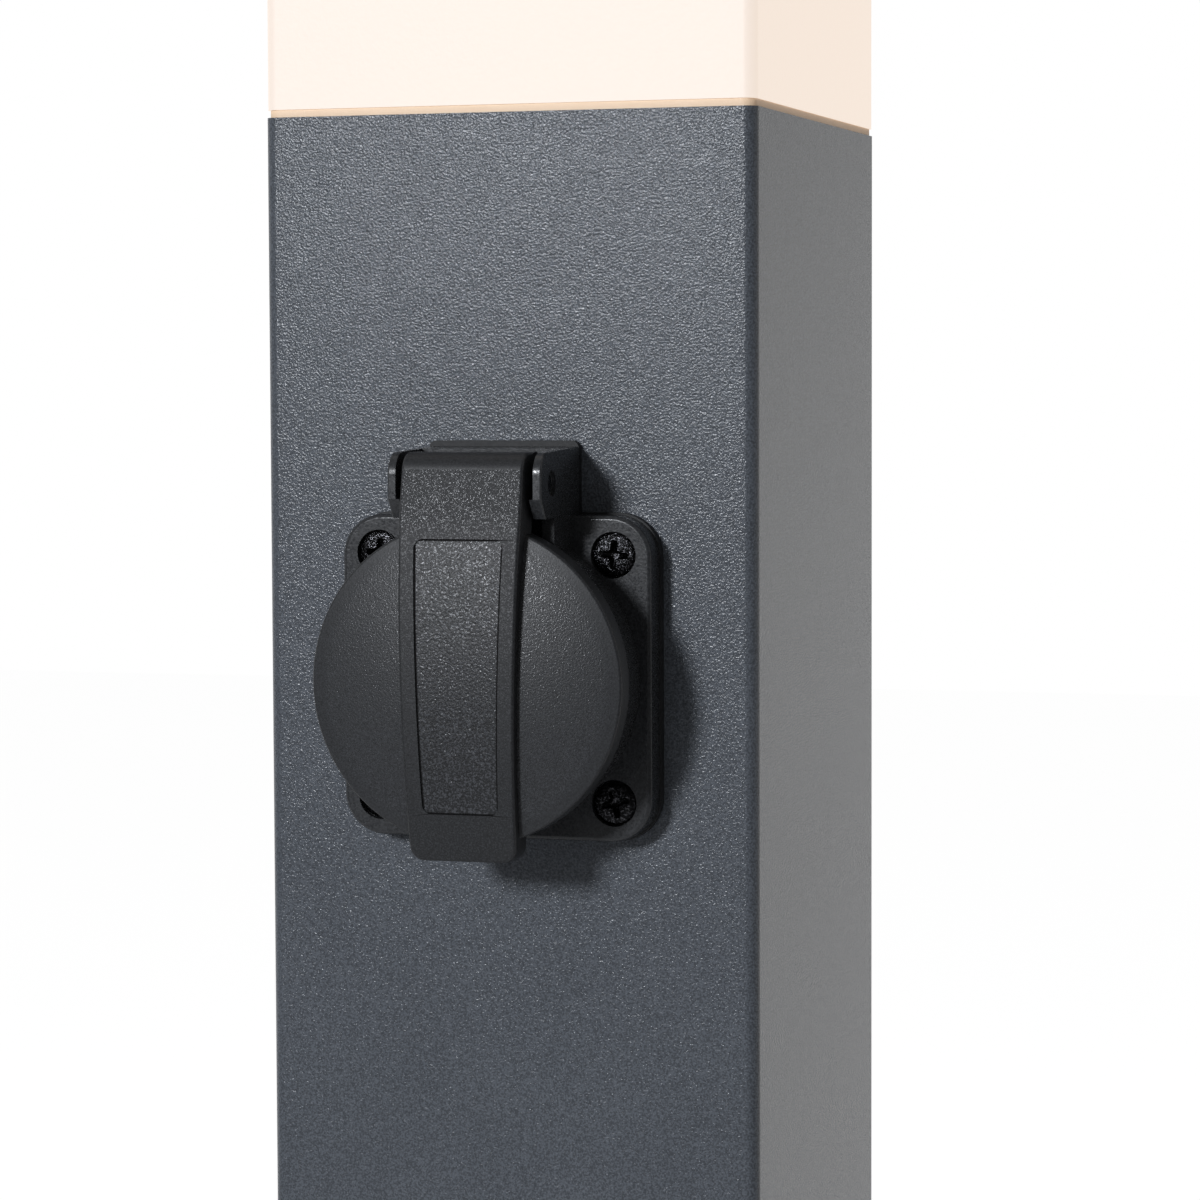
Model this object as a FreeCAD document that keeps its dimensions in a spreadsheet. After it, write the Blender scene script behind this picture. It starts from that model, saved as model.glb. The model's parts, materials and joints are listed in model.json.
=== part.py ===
import FreeCAD, Part
import Sketcher
import math
import os
import re
from FreeCAD import Placement, Rotation, Vector

# Garden lamp post with socket
# A square aluminium post stands on a base plate, carries an outdoor socket with a spring lid on its
# front and an opal lamp head on its top. Millimetres, +Z up, the front of the post looks along -Y, and
# the origin is the centre of the base plate's underside.

document = FreeCAD.newDocument("garden_lamp_post")

# Driving dimensions
# Each line is a cell name, its value in millimetres or degrees, and what it measures.
SIZES = [
    ("base_side", 120, "width of the square base plate"),
    ("base_thick", 6, "thickness of the base plate"),
    ("base_corner", 8, "corner radius of the base plate"),
    ("base_bevel", 1.2, "bevel along the base plate's top edge"),
    ("ground_pitch", 100, "distance between the ground bolt holes"),
    ("ground_hole", 8.5, "diameter of the ground bolt holes"),
    ("entry_hole", 32, "diameter of the cable hole in the base plate"),
    ("entry_bore", 10, "diameter of the grommet's cable bore"),
    ("entry_flange", 36, "diameter of the grommet's flange"),
    ("entry_flange_thick", 1.5, "thickness of the grommet's flange"),
    ("entry_collar_rise", 5, "height of the grommet's collar above the plate"),
    ("entry_collar_wall", 2.2, "wall of the grommet's collar"),
    ("post_side", 80, "outer width of the post"),
    ("post_wall", 2, "wall of the post"),
    ("post_corner", 2, "outer corner radius of the post"),
    ("post_length", 610, "length of the post profile"),
    ("port_inset", 8, "from the post's outer face to a screw port's centre"),
    ("port_hole", 4, "diameter of a screw port"),
    ("port_wall", 2.2, "wall of a screw port"),
    ("port_slit", 1.2, "width of a screw port's slit"),
    ("foot_screw_length", 20, "length of the screws under the base plate"),
    ("foot_screw_hole", 4.6, "diameter of their holes in the base plate"),
    ("foot_screw_head", 8.6, "diameter of their countersunk heads"),
    ("screw_play", 0.1, "play on the diameter between a screw and its hole"),
    ("through", 1, "how far a cut or a joined rod goes beyond the face that it passes"),
    ("screw_bite", 0.5, "how far a screw's shank reaches into its head"),
    ("hole_end_play", 0.5, "gap between a screw's tip and the end of its hole"),
    ("bracket_width", 52, "width of the terminal bracket"),
    ("bracket_thick", 2, "sheet thickness of the terminal bracket"),
    ("bracket_bend", 1, "inner bend radius of the terminal bracket"),
    ("bracket_rise", 116, "height of the terminal bracket"),
    ("bracket_front", 19.5, "distance of the bracket foot's front edge from the axis"),
    ("bracket_back", 33, "distance of the bracket's back from the axis"),
    ("bracket_screw_pitch", 30, "distance between the bracket's foot screws"),
    ("bracket_screw", 4, "diameter of the bracket's foot screws"),
    ("bracket_screw_depth", 4.5, "depth of their threads in the base plate"),
    ("bracket_screw_head", 6.8, "diameter of their heads"),
    ("pole_pitch", 12, "distance between the poles of the terminal block"),
    ("pole_width", 10.4, "width of one pole"),
    ("pole_depth", 16, "depth of one pole in front of the bracket"),
    ("pole_corner", 2.6, "rounding of a pole's front edges"),
    ("block_base_depth", 5, "depth of the terminal block's base bar"),
    ("block_width", 48, "width of the terminal block with its ears"),
    ("block_height", 24, "height of the terminal block"),
    ("block_rise", 60, "height of the terminal block above the base plate"),
    ("block_screw_pitch", 41.6, "distance between the terminal block's screws"),
    ("core_outer", 7.4, "diameter of a brass terminal sleeve"),
    ("core_bore", 5.6, "bore of a brass terminal sleeve"),
    ("core_depth", 8.5, "distance of the sleeves from the bracket"),
    ("core_inset", 2, "how far the sleeves lie inside the block's ends"),
    ("clamp_screw_drop", 1.5, "how far the clamping screws lie below the poles' fronts"),
    ("clamp_well", 4.5, "diameter of the wells over the clamping screws"),
    ("clamp_screw", 3, "diameter of the screws on the terminal bracket"),
    ("clamp_screw_head", 5.4, "diameter of their heads"),
    ("clamp_rise", 30, "height of the cable clamp above the base plate"),
    ("clamp_height", 9, "width of the cable clamp's strap"),
    ("clamp_thick", 2, "thickness of the cable clamp's strap"),
    ("clamp_span", 10.4, "width of the cable clamp's arch inside"),
    ("clamp_depth", 9.6, "depth of the cable clamp's arch inside"),
    ("clamp_screw_pitch", 24, "distance between the cable clamp's screws"),
    ("clamp_foot", 4.5, "how far the cable clamp's feet reach beyond their screws"),
    ("earth_bolt_rise", 108, "height of the earth bolt above the base plate"),
    ("earth_bolt_side", 19, "distance of the earth bolt from the post's middle plane"),
    ("earth_bolt", 5, "diameter of the earth bolt"),
    ("earth_bolt_length", 14, "length of the earth bolt in front of the bracket"),
    ("earth_hex", 8, "width across flats of the earth bolt and its nut"),
    ("earth_hex_thick", 3.2, "thickness of the earth bolt's head and nut"),
    ("washer_side", 10, "diameter of the washer under the earth lug"),
    ("washer_thick", 1, "thickness of that washer"),
    ("lug_ring", 9, "diameter of the earth lug's ring"),
    ("lug_thick", 0.8, "thickness of the earth lug's ring"),
    ("lug_barrel", 4.2, "diameter of the earth lug's barrel"),
    ("lug_length", 12, "length of the earth lug below the bolt"),
    ("lug_neck", 0.8, "gap between the earth lug's ring and its barrel"),
    ("socket_drop", 87, "from the post's top edge down to the socket's centre"),
    ("gasket_side", 50.6, "width of the square gasket under the socket"),
    ("gasket_thick", 1.5, "thickness of that gasket"),
    ("gasket_corner", 6.8, "corner radius of that gasket"),
    ("tab_half", 12.2, "half width of the gasket's tab under the hinge"),
    ("tab_top", 36.35, "height of the tab's top above the socket's centre"),
    ("tab_corner", 1.2, "corner radius of the tab"),
    ("flange_side", 50, "width of the socket's square flange"),
    ("flange_thick", 4.4, "thickness of the flange"),
    ("flange_corner", 6.5, "corner radius of the flange"),
    ("flange_edge", 0.7, "rounding of the flange's front edge"),
    ("screw_pitch", 38, "distance between the flange screws"),
    ("flange_screw", 3.8, "diameter of the flange screws"),
    ("flange_screw_hole", 4.3, "diameter of their holes"),
    ("flange_screw_head", 6.7, "diameter of their heads"),
    ("flange_screw_head_thick", 1.8, "thickness of their heads"),
    ("flange_recess", 7.2, "diameter of the recesses round the heads"),
    ("flange_recess_depth", 2, "depth of those recesses"),
    ("flange_nut_flats", 7, "width across flats of the nuts behind the wall"),
    ("flange_nut_thick", 3.2, "thickness of those nuts"),
    ("flange_screw_tail", 1.6, "thread that stands behind the nuts"),
    ("collar_outer", 46.4, "diameter of the round collar"),
    ("collar_front", 16, "distance of the collar's shoulder from the post"),
    ("lip_outer", 44, "diameter of the collar's inner lip"),
    ("lip_front", 17.4, "distance of the lip's front from the post"),
    ("well_bore", 39.2, "diameter of the socket's well"),
    ("well_depth", 18.6, "depth of the well behind the lip's front"),
    ("rib_width", 5, "width of the guide ribs in the well"),
    ("rib_height", 2.4, "height of the guide ribs in the well"),
    ("rib_drop", 3, "distance of the ribs' front behind the lip's front"),
    ("sleeve_outer", 43.6, "diameter of the sleeve inside the post"),
    ("sleeve_bore", 41, "bore of the sleeve behind the well"),
    ("sleeve_back", 36, "distance of the sleeve's rear behind the post's face"),
    ("cutout_play", 0.4, "play on the diameter of the sleeve's cut-out"),
    ("block_half", 12.2, "half width of the hinge block"),
    ("ear_thick", 1.3, "thickness of a hinge ear"),
    ("ear_step", 0.6, "how much thicker an ear is below its heel"),
    ("ear_edge", 0.3, "rounding of the ears' outer front edges"),
    ("block_top_back", 35.45, "height of the hinge block's top at the gasket"),
    ("block_top_front", 34.8, "height of the hinge block's top at its front"),
    ("ear_front", 20.3, "distance of the ears' front from the post"),
    ("ear_round", 3.4, "rounding of the ears' upper front"),
    ("ear_heel", 27.85, "height where the ears' front starts to slope back"),
    ("ear_toe", 24.9, "height of the ears' lower end"),
    ("ear_toe_front", 18.2, "distance of that end's front from the post"),
    ("block_front", 14, "distance of the hinge block's front below the ears"),
    ("hinge_wall_front", 8.3, "distance of the wall behind the hinge from the post"),
    ("axis_front", 15, "distance of the hinge axis from the post"),
    ("axis_rise", 30.2, "height of the hinge axis above the socket's centre"),
    ("pin_diameter", 2.5, "diameter of the hinge pin"),
    ("pin_recess", 0.5, "how far the pin's ends lie inside the ears"),
    ("pin_mouth", 3.9, "diameter of the countersink round the pin's ends"),
    ("hinge_play", 0.12, "play on the diameter between lid and pin"),
    ("lid_outer", 49.2, "diameter of the lid"),
    ("lid_gap", 0.3, "gap between the lid's rim and the collar's shoulder"),
    ("lid_front", 20.2, "distance of the lid's front from the post at its rim"),
    ("lid_crown", 2.7, "how far the domed lid's middle stands before its rim"),
    ("lid_edge", 0.5, "rounding of the lid's front edge"),
    ("lid_plate", 2, "thickness of the lid's rim over its seal"),
    ("lid_shell", 1.8, "thickness of the lid's dome"),
    ("lid_play", 0.5, "radial play between the lid's rim and the lip"),
    ("strap_front", 24.3, "distance of the strap's crown from the post"),
    ("strap_sag", 2.8, "how far the bowed strap's lower end lies behind its crown"),
    ("crown_rise", 2, "height of the strap's crown above the centre"),
    ("strap_half_top", 9.65, "half width of the strap at the hinge"),
    ("strap_half_bottom", 8.44, "half width of the strap at its lower end"),
    ("strap_bottom", 26.7, "how far the strap reaches below the centre"),
    ("strap_corner", 2.2, "corner radius of the strap's lower end"),
    ("strap_edge", 0.5, "rounding of the strap's front edges"),
    ("strap_back", 17, "distance of the strap's back from the post beyond the lid"),
    ("knuckle_radius", 4.7, "radius of the lid's hinge knuckles"),
    ("strap_round", 3.2, "rounding where the strap turns over the hinge"),
    ("spring_room_half", 5.4, "half width of the room for the spring"),
    ("spring_room_radius", 3.6, "radius of the room for the spring"),
    ("panel_top", 22, "height of the recessed panel's top"),
    ("panel_bottom", 19.5, "how far the panel reaches below the centre"),
    ("panel_half_top", 7.1, "half width of the panel at its top"),
    ("panel_half_bottom", 6, "half width of the panel at its bottom"),
    ("panel_corner", 1.5, "corner radius of the panel"),
    ("panel_depth", 0.25, "depth of the panel"),
    ("seal_inner", 40, "inner diameter of the lid's seal"),
    ("seal_outer", 44.4, "outer diameter of the lid's seal"),
    ("seal_thick", 0.7, "thickness of the lid's seal"),
    ("spring_wire", 0.6, "wire diameter of the lid's spring"),
    ("spring_mean", 4.4, "mean diameter of the spring's turns"),
    ("spring_pitch", 1.15, "distance between the spring's turns"),
    ("spring_turns", 5, "number of turns of the spring"),
    ("spring_hole", 0.8, "diameter of the holes for the spring's legs"),
    ("spring_hole_depth", 1.2, "depth of the housing's hole for the spring's leg"),
    ("spring_hole_cover", 0.8, "skin over the lid's hole for the spring's other leg"),
    ("floor_thick", 3, "thickness of the well's floor"),
    ("insert_play", 0.4, "play on the diameter between insert and sleeve"),
    ("pin_pitch", 19, "distance between the two contact holes"),
    ("pin_hole", 5.5, "diameter of a contact hole"),
    ("clip_width", 5.2, "width of the earth clip"),
    ("clip_thick", 1, "thickness of the earth clip"),
    ("clip_place", 17, "distance of the earth prongs' inner faces from the centre"),
    ("clip_tip", 4.5, "distance of the prongs' tips behind the lip's front"),
    ("clip_lead", 3, "distance from the prongs' tips to where they start to lean inwards"),
    ("clip_flare", 1, "distance from the prongs' tips to their narrowest place"),
    ("slot_play", 0.5, "play round the earth clip in its slots"),
    ("chamber_bore", 31, "diameter of the shutter's chamber"),
    ("chamber_depth", 2.6, "depth of the shutter's chamber"),
    ("shutter_radius", 14.6, "radius of the child shutter"),
    ("shutter_thick", 1.6, "thickness of the child shutter"),
    ("shutter_turn", 40, "how far the child shutter turns, in degrees"),
    ("shutter_hole", 6.2, "diameter of the shutter's holes"),
    ("hub_diameter", 4, "diameter of the shutter's pivot"),
    ("hub_play", 0.12, "play on the diameter between shutter and pivot"),
    ("carrier_depth", 24, "depth of the contact carrier behind the floor"),
    ("contact_outer", 6.8, "diameter of a contact sleeve"),
    ("contact_bore", 4.9, "bore of a contact sleeve"),
    ("contact_slit", 1, "width of the slit in a contact sleeve"),
    ("contact_length", 13, "length of a contact sleeve"),
    ("contact_gap", 0.3, "gap between the shutter's chamber and the contacts"),
    ("terminal_side", 7.4, "width of a socket terminal"),
    ("terminal_length", 14, "length of a socket terminal"),
    ("terminal_screw", 2.8, "diameter of a terminal's screw"),
    ("terminal_screw_place", 3, "distance of that screw from the terminal's rear"),
    ("terminal_screw_head", 3.2, "diameter of that screw's head"),
    ("terminal_screw_reach", 1.2, "how far that screw's shank goes above the terminal"),
    ("terminal_screw_gap", 0.3, "gap between the terminal and that screw's head"),
    ("terminal_bore", 3.4, "diameter of a terminal's wire hole"),
    ("cover_thick", 2, "thickness of the socket's rear cover"),
    ("cover_screw", 2.6, "diameter of the rear cover's screws"),
    ("cover_screw_head", 5, "diameter of their heads"),
    ("cover_screw_head_thick", 1.56, "thickness of those heads"),
    ("cover_screw_place", 10, "distance of the rear cover's screws along both axes"),
    ("cover_screw_depth", 10, "depth of the rear cover's screws in the carrier"),
    ("wire_diameter", 2.5, "diameter of one insulated wire"),
    ("wire_gap", 0.2, "gap between two wires that lie side by side"),
    ("wire_play", 0.5, "play on the diameter between a wire and its hole"),
    ("wire_bend", 14, "bend radius of the long wires"),
    ("wire_grip", 2, "how far a wire stands in its socket terminal"),
    ("wire_lean_rise", 50, "height above the terminals where the wires start to lean"),
    ("lamp_wire_turn", 30, "height above the socket where the lamp wires lean inwards"),
    ("lamp_wire_top", 20, "how far below the post's top the lamp wires stand in the middle"),
    ("lead_rise", 2, "height above the terminal block where the earth lead turns back"),
    ("lead_bend", 4, "bend radius of the earth lead"),
    ("seal_frame_thick", 1.2, "thickness of the gasket on the post's top"),
    ("seal_frame_inset", 0.4, "how far that gasket's edge lies inside the post's face"),
    ("seal_frame_width", 15, "width of that gasket"),
    ("diffuser_height", 169.8, "height of the opal diffuser"),
    ("diffuser_wall", 2.5, "wall of the diffuser"),
    ("diffuser_inset", 0.1, "how far the diffuser lies inside the post's face"),
    ("diffuser_corner", 2, "corner radius of the diffuser"),
    ("head_plate_thick", 3, "thickness of the head plate"),
    ("head_plate_play", 0.4, "gap between head plate and diffuser"),
    ("head_window", 12, "diameter of the wire hole in the head plate"),
    ("tube_outer", 8, "diameter of the spacer tubes"),
    ("tube_bore", 4.6, "bore of the spacer tubes"),
    ("tie_head", 7.6, "diameter of the tie screws' heads"),
    ("tie_grip", 17, "length of the tie screws inside the screw ports"),
    ("cap_seal_thick", 1, "thickness of the gasket under the cap"),
    ("cap_height", 12, "height of the top cap above its gasket"),
    ("cap_wall", 3, "thickness of the top cap's roof"),
    ("cap_rim", 4, "width of the top cap's rim"),
    ("cap_edge", 1.5, "rounding of the top cap's upper edge"),
    ("cap_boss", 9, "diameter of the bosses under the cap"),
    ("cap_boss_drop", 6, "how far the bosses reach below the cap's rim"),
    ("strap_bracket_width", 22, "width of the lampholder bracket"),
    ("strap_bracket_span", 36, "length of the lampholder bracket's top"),
    ("strap_bracket_rise", 9, "height of the lampholder bracket"),
    ("strap_bracket_thick", 1.5, "sheet thickness of the lampholder bracket"),
    ("strap_bracket_foot", 8, "length of each foot of the lampholder bracket"),
    ("holder_screw", 3, "diameter of the lampholder bracket's screws"),
    ("holder_screw_head", 5.4, "diameter of their heads"),
    ("holder_screw_head_thick", 1.8, "thickness of their heads"),
    ("holder_screw_tail", 2, "how far these screws reach below the head plate"),
    ("nipple_diameter", 10, "diameter of the threaded nipple"),
    ("nipple_bore", 7, "bore of the nipple"),
    ("nipple_length", 11, "length of the nipple"),
    ("nipple_nut_flats", 14, "width across flats of the nipple's nut"),
    ("nipple_nut_thick", 3, "thickness of the nipple's nut"),
    ("nipple_tail", 1, "thread of the nipple below its nut"),
    ("holder_height", 46, "height of the lampholder"),
    ("holder_foot", 34, "diameter of the lampholder's foot"),
    ("holder_mouth", 40, "diameter of the lampholder's mouth"),
    ("holder_bore", 29, "bore of the lampholder's mouth"),
    ("holder_bore_depth", 27, "depth of that bore"),
    ("holder_bevel", 1, "bevel of the lampholder's foot"),
    ("holder_lip", 1.5, "rounding of the lampholder's mouth"),
    ("shell_outer", 28.4, "diameter of the lampholder's thread shell"),
    ("shell_bore", 27.2, "bore of the thread shell"),
    ("shell_length", 22, "length of the thread shell"),
    ("shell_sink", 2, "how far the thread shell reaches below the lamp's end"),
    ("core_rim", 2, "room round the ceramic core in the lampholder's bore"),
    ("core_disc", 1, "thickness of the ceramic core's disc"),
    ("contact_tip_gap", 0.2, "gap between the middle contact and the lamp's end"),
    ("lamp_cap_diameter", 26.4, "diameter of the lamp's screw cap"),
    ("lamp_cap_length", 23, "length of the lamp's screw cap"),
    ("lamp_cap_wall", 0.8, "wall of the lamp's screw cap"),
    ("cap_shoulder_inset", 1.5, "how much narrower the lamp's cap is at its shoulder's foot"),
    ("cap_shoulder_low", 3, "height of the shoulder's foot on the lamp's cap"),
    ("cap_shoulder_high", 5, "height of the shoulder's top on the lamp's cap"),
    ("cap_inside_low", 3, "height of the cap's inside in its middle"),
    ("cap_inside_high", 5.5, "height of the cap's inside at its wall"),
    ("eyelet_diameter", 9, "diameter of the contacts at the lamp's end"),
    ("eyelet_flare", 0.5, "how much the contact at the lamp's end widens upwards"),
    ("eyelet_height", 1, "height of that contact"),
    ("lamp_neck", 30, "diameter of the lamp's body at its neck"),
    ("lamp_waist", 58, "diameter of the lamp's body at the globe"),
    ("lamp_body_length", 38, "length of the lamp's body"),
    ("lamp_plug", 8, "how deep the lamp's body stands in its cap"),
    ("lamp_rim_gap", 0.1, "gap between the lamp's body and its cap's rim"),
    ("lamp_foot_inset", 1, "how much narrower the lamp's body is at its lower edge"),
    ("lamp_neck_height", 2, "height of the lamp's neck above its cap"),
    ("lamp_neck_swell", 3, "how much the lamp's body widens over its lower third"),
    ("lamp_waist_inset", 4, "how much narrower it is at three quarters of its length"),
    ("globe_diameter", 60, "diameter of the lamp's globe"),
    ("globe_wall", 1, "wall of the lamp's globe"),
]

sizes = document.addObject("Spreadsheet::Sheet", "sizes")
for row, (name, value, meaning) in enumerate(SIZES, 1):
    sizes.set("A%d" % row, meaning)
    sizes.set("B%d" % row, str(value))
    sizes.setAlias("B%d" % row, name)
document.recompute()

# Places that several pieces share, as expressions in the sheet's names
POST_HALF = "(post_side / 2)"
POST_TOP = "(base_thick + post_length)"
PORT_PLACE = "(post_side / 2 - port_inset)"
SOCKET_HEIGHT = "(base_thick + post_length - socket_drop)"
FLANGE_FRONT = "(gasket_thick + flange_thick)"
RECESS_FLOOR = "(gasket_thick + flange_thick - flange_recess_depth)"
WELL_FLOOR = "(lip_front - well_depth)"
FLOOR_BACK = "(lip_front - well_depth - floor_thick)"
CHAMBER_BACK = "(lip_front - well_depth - floor_thick - chamber_depth)"
CARRIER_BACK = "(lip_front - well_depth - floor_thick - carrier_depth)"
LID_BACK = "(collar_front + lid_gap)"
LID_CEILING = "(lid_front - lid_plate)"
DOME_RADIUS = "(((lid_outer / 2) ^ 2 + lid_crown ^ 2) / (2 * lid_crown))"
DOME_CENTRE = "(lid_front + lid_crown - %s)" % DOME_RADIUS
BOW_RADIUS = "(((strap_bottom + crown_rise) ^ 2 + strap_sag ^ 2) / (2 * strap_sag))"
BOW_CENTRE = "(strap_front - %s)" % BOW_RADIUS
SPRING_LEFT = "(-spring_pitch * (spring_turns + 0.25) / 2)"
SPRING_TIP = "(knuckle_radius - spring_hole_cover)"
INSERT_RADIUS = "((sleeve_bore - insert_play) / 2)"
EAR_INNER = "(block_half - ear_thick)"
BLOCK_BOTTOM = "(base_thick + block_rise)"
HEAD_FLOOR = "(base_thick + post_length + seal_frame_thick)"
HEAD_TOP = "(base_thick + post_length + seal_frame_thick + head_plate_thick)"
CAP_SEAT = "(base_thick + post_length + seal_frame_thick + diffuser_height)"
CAP_BOTTOM = "(base_thick + post_length + seal_frame_thick + diffuser_height + cap_seal_thick)"
CAP_TOP = "(base_thick + post_length + seal_frame_thick + diffuser_height + cap_seal_thick + cap_height)"
DIFFUSER_HALF = "(post_side / 2 - diffuser_inset)"
HOLDER_BOTTOM = HEAD_TOP + " + strap_bracket_rise"
MATH_NAMES = ("sqrt", "sin", "cos", "tan")


def bound(text):
    """Turns the sheet's names in an expression into references to its cells."""
    def refer(found):
        word = found.group(0)
        return word if word in MATH_NAMES else "sizes." + word
    return re.sub(r"[a-z][a-z_]*", refer, str(text))


def value_of(text):
    """The number that an expression in the sheet's names gives now."""
    return float(sizes.evalExpression(bound(text)))


def tie(thing, path, text):
    """Binds one property to an expression in the sheet's names."""
    thing.setExpression(path, bound(text))


# Sketches
def sketch_on(body, plane, name, offset="0"):
    """A sketch on one of the body's own origin planes, moved along its normal."""
    planes = {origin_plane.Role: origin_plane for origin_plane in body.Origin.OriginFeatures}
    sketch = body.newObject("Sketcher::SketchObject", body.Name + "_" + name)
    sketch.AttachmentSupport = [(planes[plane], "")]
    sketch.MapMode = "FlatFace"
    if offset != "0":
        tie(sketch, "AttachmentOffset.Base.z", offset)
    return sketch


def hold(sketch, kind, arguments, text):
    """Adds a dimension to the sketch and binds it to an expression."""
    constraint = sketch.addConstraint(Sketcher.Constraint(kind, *arguments, value_of(text)))
    tie(sketch, "Constraints[%d]" % constraint, text)


def hold_point(sketch, geometry, end, across, up):
    """Places one point of the sketch at two expressions."""
    hold(sketch, "DistanceX", (-1, 1, geometry, end), across)
    hold(sketch, "DistanceY", (-1, 1, geometry, end), up)


def draw_polygon(sketch, points):
    """A closed outline through points, each an expression across and one up."""
    first = sketch.GeometryCount
    corners = [Vector(value_of(across), value_of(up), 0) for across, up in points]
    for start, finish in zip(corners, corners[1:] + corners[:1]):
        sketch.addGeometry(Part.LineSegment(start, finish), False)
    for index, (across, up) in enumerate(points):
        following = (index + 1) % len(points)
        sketch.addConstraint(Sketcher.Constraint("Coincident", first + index, 2, first + following, 1))
        hold_point(sketch, first + index, 1, across, up)


def draw_under_arc(sketch, points, across, up, radius):
    """An outline of straight lines through points, closed by an arc about a centre.

    The arc runs anticlockwise from the last point to the first. Its centre and radius are held, so the
    end points are held along one direction only, the one in which the outline meets the arc.
    """
    corners = [Vector(value_of(first), value_of(second), 0) for first, second in points]
    centre = Vector(value_of(across), value_of(up), 0)
    start_ray = corners[-1] - centre
    end_ray = corners[0] - centre
    start = math.atan2(start_ray.y, start_ray.x)
    end = math.atan2(end_ray.y, end_ray.x)
    circle = Part.Circle(centre, Vector(0, 0, 1), value_of(radius))
    arc = sketch.addGeometry(Part.ArcOfCircle(circle, start, end), False)
    for first, second in zip(corners, corners[1:]):
        sketch.addGeometry(Part.LineSegment(first, second), False)
    last = sketch.GeometryCount - 1
    sketch.addConstraint(Sketcher.Constraint("Coincident", arc, 2, arc + 1, 1))
    sketch.addConstraint(Sketcher.Constraint("Coincident", arc, 1, last, 2))
    hold_point(sketch, arc, 3, across, up)
    hold(sketch, "Radius", (arc,), radius)
    hold(sketch, "DistanceX", (-1, 1, arc + 1, 1), points[0][0])
    hold(sketch, "DistanceX", (-1, 1, last, 2), points[-1][0])
    for index in range(arc + 2, last + 1):
        sketch.addConstraint(Sketcher.Constraint("Coincident", index - 1, 2, index, 1))
        hold_point(sketch, index, 1, *points[index - arc - 1])


def arc_height(across, middle, centre, radius):
    """The height of an arc's upper side at a place across."""
    return "(%s + sqrt((%s) ^ 2 - ((%s) - (%s)) ^ 2))" % (centre, radius, across, middle)


def draw_rectangle(sketch, left, right, low, high):
    draw_polygon(sketch, [(left, low), (right, low), (right, high), (left, high)])


def draw_circle(sketch, across, up, diameter):
    centre = Vector(value_of(across), value_of(up), 0)
    radius = value_of(diameter) / 2
    index = sketch.addGeometry(Part.Circle(centre, Vector(0, 0, 1), radius), False)
    hold_point(sketch, index, 3, across, up)
    hold(sketch, "Diameter", (index,), diameter)


def draw_hexagon(sketch, across, up, flats):
    """A hexagon with two flat sides left and right."""
    half = "((%s) / 2)" % flats
    corner = "((%s) / sqrt(3))" % flats
    draw_polygon(sketch, [
        ("%s + %s" % (across, half), "%s - %s / 2" % (up, corner)),
        ("%s + %s" % (across, half), "%s + %s / 2" % (up, corner)),
        (across, "%s + %s" % (up, corner)),
        ("%s - %s" % (across, half), "%s + %s / 2" % (up, corner)),
        ("%s - %s" % (across, half), "%s - %s / 2" % (up, corner)),
        (across, "%s - %s" % (up, corner)),
    ])


def four_corners(place):
    """The four points of a square, as expressions."""
    return [("%d * %s" % (side, place), "%d * %s" % (rise, place)) for side in (-1, 1) for rise in (-1, 1)]


# Features
def new_body(name):
    body = document.addObject("PartDesign::Body", name)
    body.Label = name
    return body


def add_feature(body, kind, name, sketch=None):
    feature = body.newObject("PartDesign::" + kind, body.Name + "_" + name)
    if sketch is not None:
        feature.Profile = sketch
        sketch.Visibility = False
    return feature


def settle(feature):
    """Works the feature out and stops if it gives no sound shape."""
    document.recompute()
    if "Invalid" in feature.State or feature.Shape.isNull() or not feature.Shape.isValid():
        raise RuntimeError("%s is not sound: %s" % (feature.Name, feature.State))
    return feature


def pad(body, sketch, length, midplane=False, back=False):
    feature = add_feature(body, "Pad", "pad", sketch)
    feature.Midplane = midplane
    feature.Reversed = back
    tie(feature, "Length", length)
    return settle(feature)


def cut(body, sketch, depth, forward=False, midplane=False):
    """Cuts into the solid behind the sketch, or in front of it if forward."""
    before = body.Tip.Shape.Volume
    feature = add_feature(body, "Pocket", "pocket", sketch)
    feature.Midplane = midplane
    feature.Reversed = forward
    tie(feature, "Length", depth)
    settle(feature)
    if not feature.Shape.Volume < before:
        raise RuntimeError(feature.Name + " cuts nothing")
    return feature


def spin(body, sketch, kind="Revolution"):
    """Revolves a sketch of the XZ plane about the body's Z axis, as solid or, with Groove, as a cut."""
    before = body.Tip.Shape.Volume if kind == "Groove" else None
    feature = add_feature(body, kind, "spun", sketch)
    feature.ReferenceAxis = (sketch, ["V_Axis"])
    feature.Angle = 360
    settle(feature)
    if before is not None and not feature.Shape.Volume < before:
        raise RuntimeError(feature.Name + " cuts nothing")
    return feature


def turn(body, points, name="turned"):
    """Revolves an outline given as radius and height about the body's Z axis."""
    sketch = sketch_on(body, "XZ_Plane", name)
    draw_polygon(sketch, points)
    return spin(body, sketch)


def edges_where(body, keep):
    """Names of the edges whose bounding box passes the test."""
    edges = enumerate(body.Tip.Shape.Edges, 1)
    return ["Edge%d" % number for number, edge in edges if keep(edge.BoundBox)]


def close(first, second):
    return abs(first - second) < 0.001


def is_upright(box):
    return box.XLength < 0.001 and box.YLength < 0.001 and box.ZLength > 0.01


def round_edges(body, keep, radius):
    base = body.Tip
    names = edges_where(body, keep)
    feature = add_feature(body, "Fillet", "rounding")
    feature.Base = (base, names)
    tie(feature, "Radius", radius)
    return settle(feature)


def bevel_edges(body, keep, size):
    base = body.Tip
    names = edges_where(body, keep)
    feature = add_feature(body, "Chamfer", "bevel")
    feature.Base = (base, names)
    tie(feature, "Size", size)
    return settle(feature)


def add_rods(body, places, diameter, low, length, name="rods"):
    """Equal upright cylinders at several places of the body's XY plane."""
    sketch = sketch_on(body, "XY_Plane", name, low)
    for across, up in places:
        draw_circle(sketch, across, up, diameter)
    return pad(body, sketch, length)


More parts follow.
